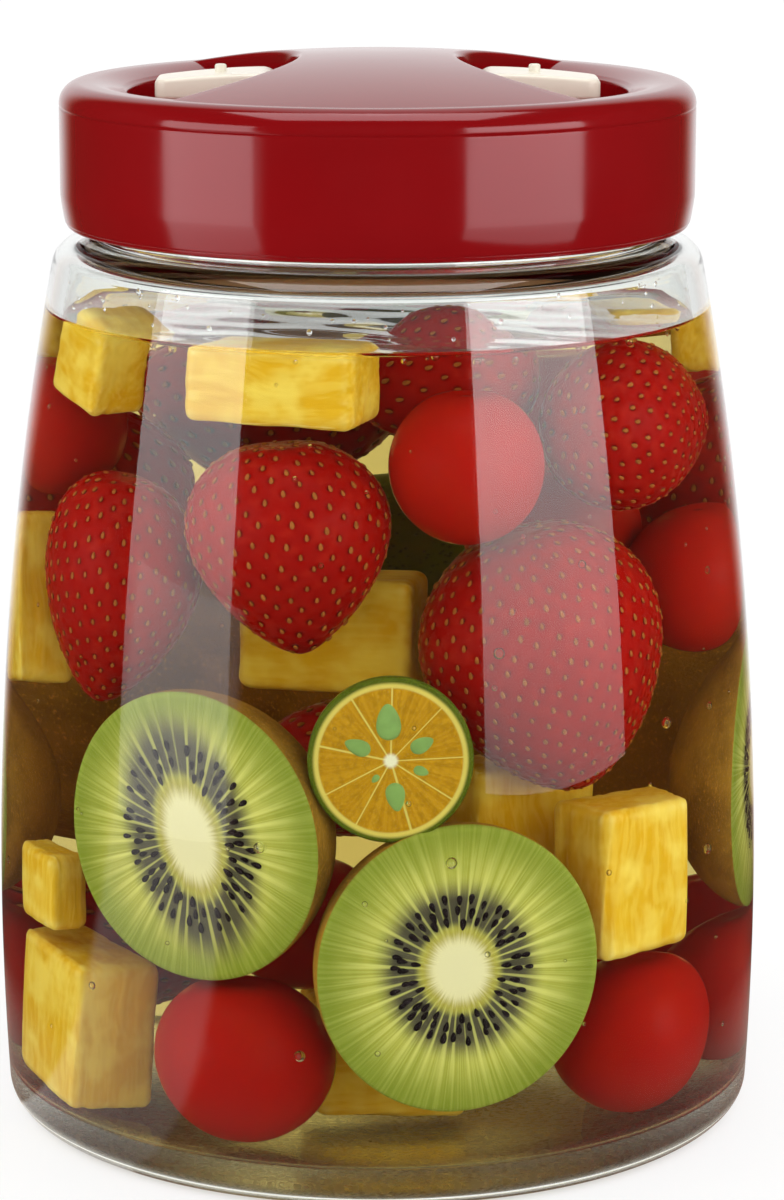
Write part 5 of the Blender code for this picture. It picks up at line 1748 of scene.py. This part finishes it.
def sight(wire):
    """Masks of the rays that see the stage before any diffuse bounce: straight or through clear
    material, and by a mirroring surface."""
    path = wire.add("ShaderNodeLightPath").outputs
    first = wire.minus(1.0, wire.math("MINIMUM", path["Diffuse Depth"], 1.0))
    through = wire.times(path["Is Transmission Ray"], first)
    direct = wire.math("MAXIMUM", path["Is Camera Ray"], through)
    mirrored = wire.times(path["Is Glossy Ray"], first)
    return direct, wire.minus(mirrored, wire.math("MINIMUM", mirrored, direct))


def mirror_level(wire, way, settings):
    """What glossy surfaces mirror: white straight behind the jar, dim on all other sides."""
    flat = wire.vector("NORMALIZE", wire.vector("MULTIPLY", way, (1.0, 1.0, 0.0)))
    return wire.between(wire.parts(flat)["Y"], 0.76, 0.95, settings.dim, settings.behind)


def mirror_tint(wire, mirrored, level):
    """Colour glossy surfaces mirror: white where bright, a painted warm reflection where dim."""
    # The warm tint paints the red of the lid and the amber of the fruit into what the glass and the
    # liquid mirror.
    return wire.mix(mirrored, WHITE, wire.mix(level, (1.0, 0.45, 0.24), WHITE))


def floor_finish(settings):
    """Pale floor with a very faint grain, see-through from below.

    The camera sees a share of it as plain white paper and the rest as lit, with its shadow.
    """
    wire = Finish("floor")
    place = wire.place()
    patch = darker(settings.floor, 0.985)
    pale = wire.shared("Blotches", place, settings.floor, patch, 3.0, 0.5)["Colour"]
    direct, mirrored = sight(wire)
    away = wire.vector("LENGTH", place)
    # Painted reflection: near the jar's foot the floor glows to mirrors, so that the heel of the
    # glass mirrors a light floor.
    near = wire.between(away, 0.085, 0.15, 0.35, 0.0)
    level = wire.math("MAXIMUM", mirror_level(wire, place, settings), near)
    parts = wire.parts(place)
    # Painted reflection: a strip of floor left of the jar glows to mirrors, 0.9 as bright as white
    # paper, as a softbox lying on the floor would.
    azimuth = wire.math("ARCTAN2", parts["X"], wire.times(parts["Y"], -1.0))
    first = wire.between(azimuth, -1.42, -1.34, 0.0, 0.9)
    level = wire.math("MAXIMUM", level, wire.times(first, wire.between(azimuth, -0.67, -0.74)))
    seen = wire.plus(direct, wire.times(mirrored, level))
    share = wire.between(away, 0.10, 0.34, 1.0 - settings.paper, 0.0)
    grey = wire.times(share, seen)
    lit = wire.add("ShaderNodeCombineColor", {0: grey, 1: grey, 2: grey}).outputs[0]
    glow = wire.times(seen, wire.minus(1.02, share))
    wire.give({
        "Base Color": wire.mix(wire.plus(direct, mirrored), pale, lit),
        "Roughness": 0.9,
        "Specular IOR Level": 0.0,
        "Emission Color": mirror_tint(wire, mirrored, level),
        "Emission Strength": wire.times(glow, wire.between(away, 0.062, 0.072, 0.06, 1.0)),
    })
    below = wire.add("ShaderNodeBsdfTransparent")
    wire.surface(wire.geometry("Backfacing"), wire.shader, below)
    return wire.material


def surroundings(settings):
    """White surroundings for the camera, which glossy surfaces see dim but for the rear."""
    world = bpy.data.worlds.new("surroundings")
    world.use_nodes = True
    wire = Wiring(world.node_tree)
    wire.tree.nodes.clear()
    direct, mirrored = sight(wire)
    level = mirror_level(wire, wire.add("ShaderNodeTexCoord").outputs["Generated"], settings)
    mirror = wire.times(mirrored, wire.minus(level, settings.ambient))
    strength = wire.plus(settings.ambient, mirror)
    strength = wire.plus(strength, wire.times(direct, wire.minus(1.0, strength)))
    ground = {"Color": mirror_tint(wire, mirrored, level), "Strength": strength}
    ground = wire.add("ShaderNodeBackground", ground).outputs[0]
    wire.add("ShaderNodeOutputWorld", {"Surface": ground})
    return world


class JAR_OT_stage(bpy.types.Operator):
    """Sets the floor, the softboxes, the white surroundings and the camera"""

    bl_idname = "jar.stage"
    bl_label = "Stage"

    def execute(self, context):
        scene = context.scene
        settings = scene.jar_stage
        scene.view_settings.view_transform = "Standard"
        half, low = 4.0, -0.0003
        corners = [(-half, -half, low), (half, -half, low), (half, half, low), (-half, half, low)]
        floor = new_object("floor", Shape(corners, [[(0, 1, 2, 3)]]))
        floor.data.materials.append(floor_finish(settings))

        middle = (0.0, 0.0, 0.11)
        cards = [
            card("softbox_left", settings, -76.3, -41.2, 0.002, 0.28, 1.08),
            card("softbox_right", settings, 29.0, 72.5, 0.025, 0.46, 1.38),
            softbox("softbox_top", settings.top, (0.0, -0.12, 0.80), middle, 0.7, 0.5),
        ]
        for lamp in cards:
            lamp.visible_diffuse = False
        fills = [softbox("fill_top", settings.overhead, (0.0, -0.12, 0.77), middle, 0.7, 0.5)]
        for place, azimuth in enumerate((0, 90, 180, 270)):
            turn = math.radians(azimuth)
            way = (1.2 * math.sin(turn), -1.2 * math.cos(turn), 0.5)
            fills.append(softbox(f"fill_{place}", settings.fill, way, middle, 1.0, 0.8))
        for lamp in fills:
            lamp.visible_glossy = False
            lamp.visible_transmission = False
        scene.world = surroundings(settings)

        camera = bpy.data.cameras.new("camera")
        camera.sensor_fit = "VERTICAL"
        camera.sensor_height = 36.0
        camera.lens = settings.lens
        camera.shift_x = 0.012
        camera.dof.use_dof = False
        stand = bpy.data.objects.new("camera", camera)
        stand.location = (0.0, -settings.distance, 0.2673)
        stand.rotation_euler = (math.radians(90 - 12.5), 0.0, 0.0)
        scene.collection.objects.link(stand)
        scene.camera = stand
        return {"FINISHED"}


# Panel and start ---------------------------------------------------------------------------------

STEPS = (
    JAR_OT_glass, JAR_OT_lid, JAR_OT_seals, JAR_OT_levers, JAR_OT_tomatoes, JAR_OT_berries,
    JAR_OT_chunks, JAR_OT_kiwis, JAR_OT_citrus, JAR_OT_liquid, JAR_OT_stage,
)
SETTINGS = {
    "jar_glass": JarGlassSettings,
    "jar_lid": JarLidSettings,
    "jar_fruit": JarFruitSettings,
    "jar_liquid": JarLiquidSettings,
    "jar_stage": JarStageSettings,
}


class JAR_PT_sidebar(bpy.types.Panel):
    """Lists the jar's pieces and their settings"""

    bl_idname = "JAR_PT_sidebar"
    bl_label = "Fermentation jar"
    bl_space_type = "VIEW_3D"
    bl_region_type = "UI"
    bl_category = "Jar"

    def draw(self, context):
        for step in STEPS:
            self.layout.operator(step.bl_idname)
        for name, kind in SETTINGS.items():
            box = self.layout.box()
            for key in kind.__annotations__:
                box.prop(getattr(context.scene, name), key)


def register():
    for kind in (*SETTINGS.values(), *STEPS, JAR_PT_sidebar):
        bpy.utils.register_class(kind)
    for name, kind in SETTINGS.items():
        setattr(bpy.types.Scene, name, PointerProperty(type=kind))


def unregister():
    for name in SETTINGS:
        delattr(bpy.types.Scene, name)
    for kind in (JAR_PT_sidebar, *reversed(STEPS), *reversed(SETTINGS.values())):
        bpy.utils.unregister_class(kind)


def main():
    register()
    for step in STEPS:
        call = getattr(bpy.ops.jar, step.bl_idname.partition(".")[2])
        if call() != {"FINISHED"}:
            raise RuntimeError(f"{step.bl_idname} didn't finish")


if __name__ == "__main__":
    main()
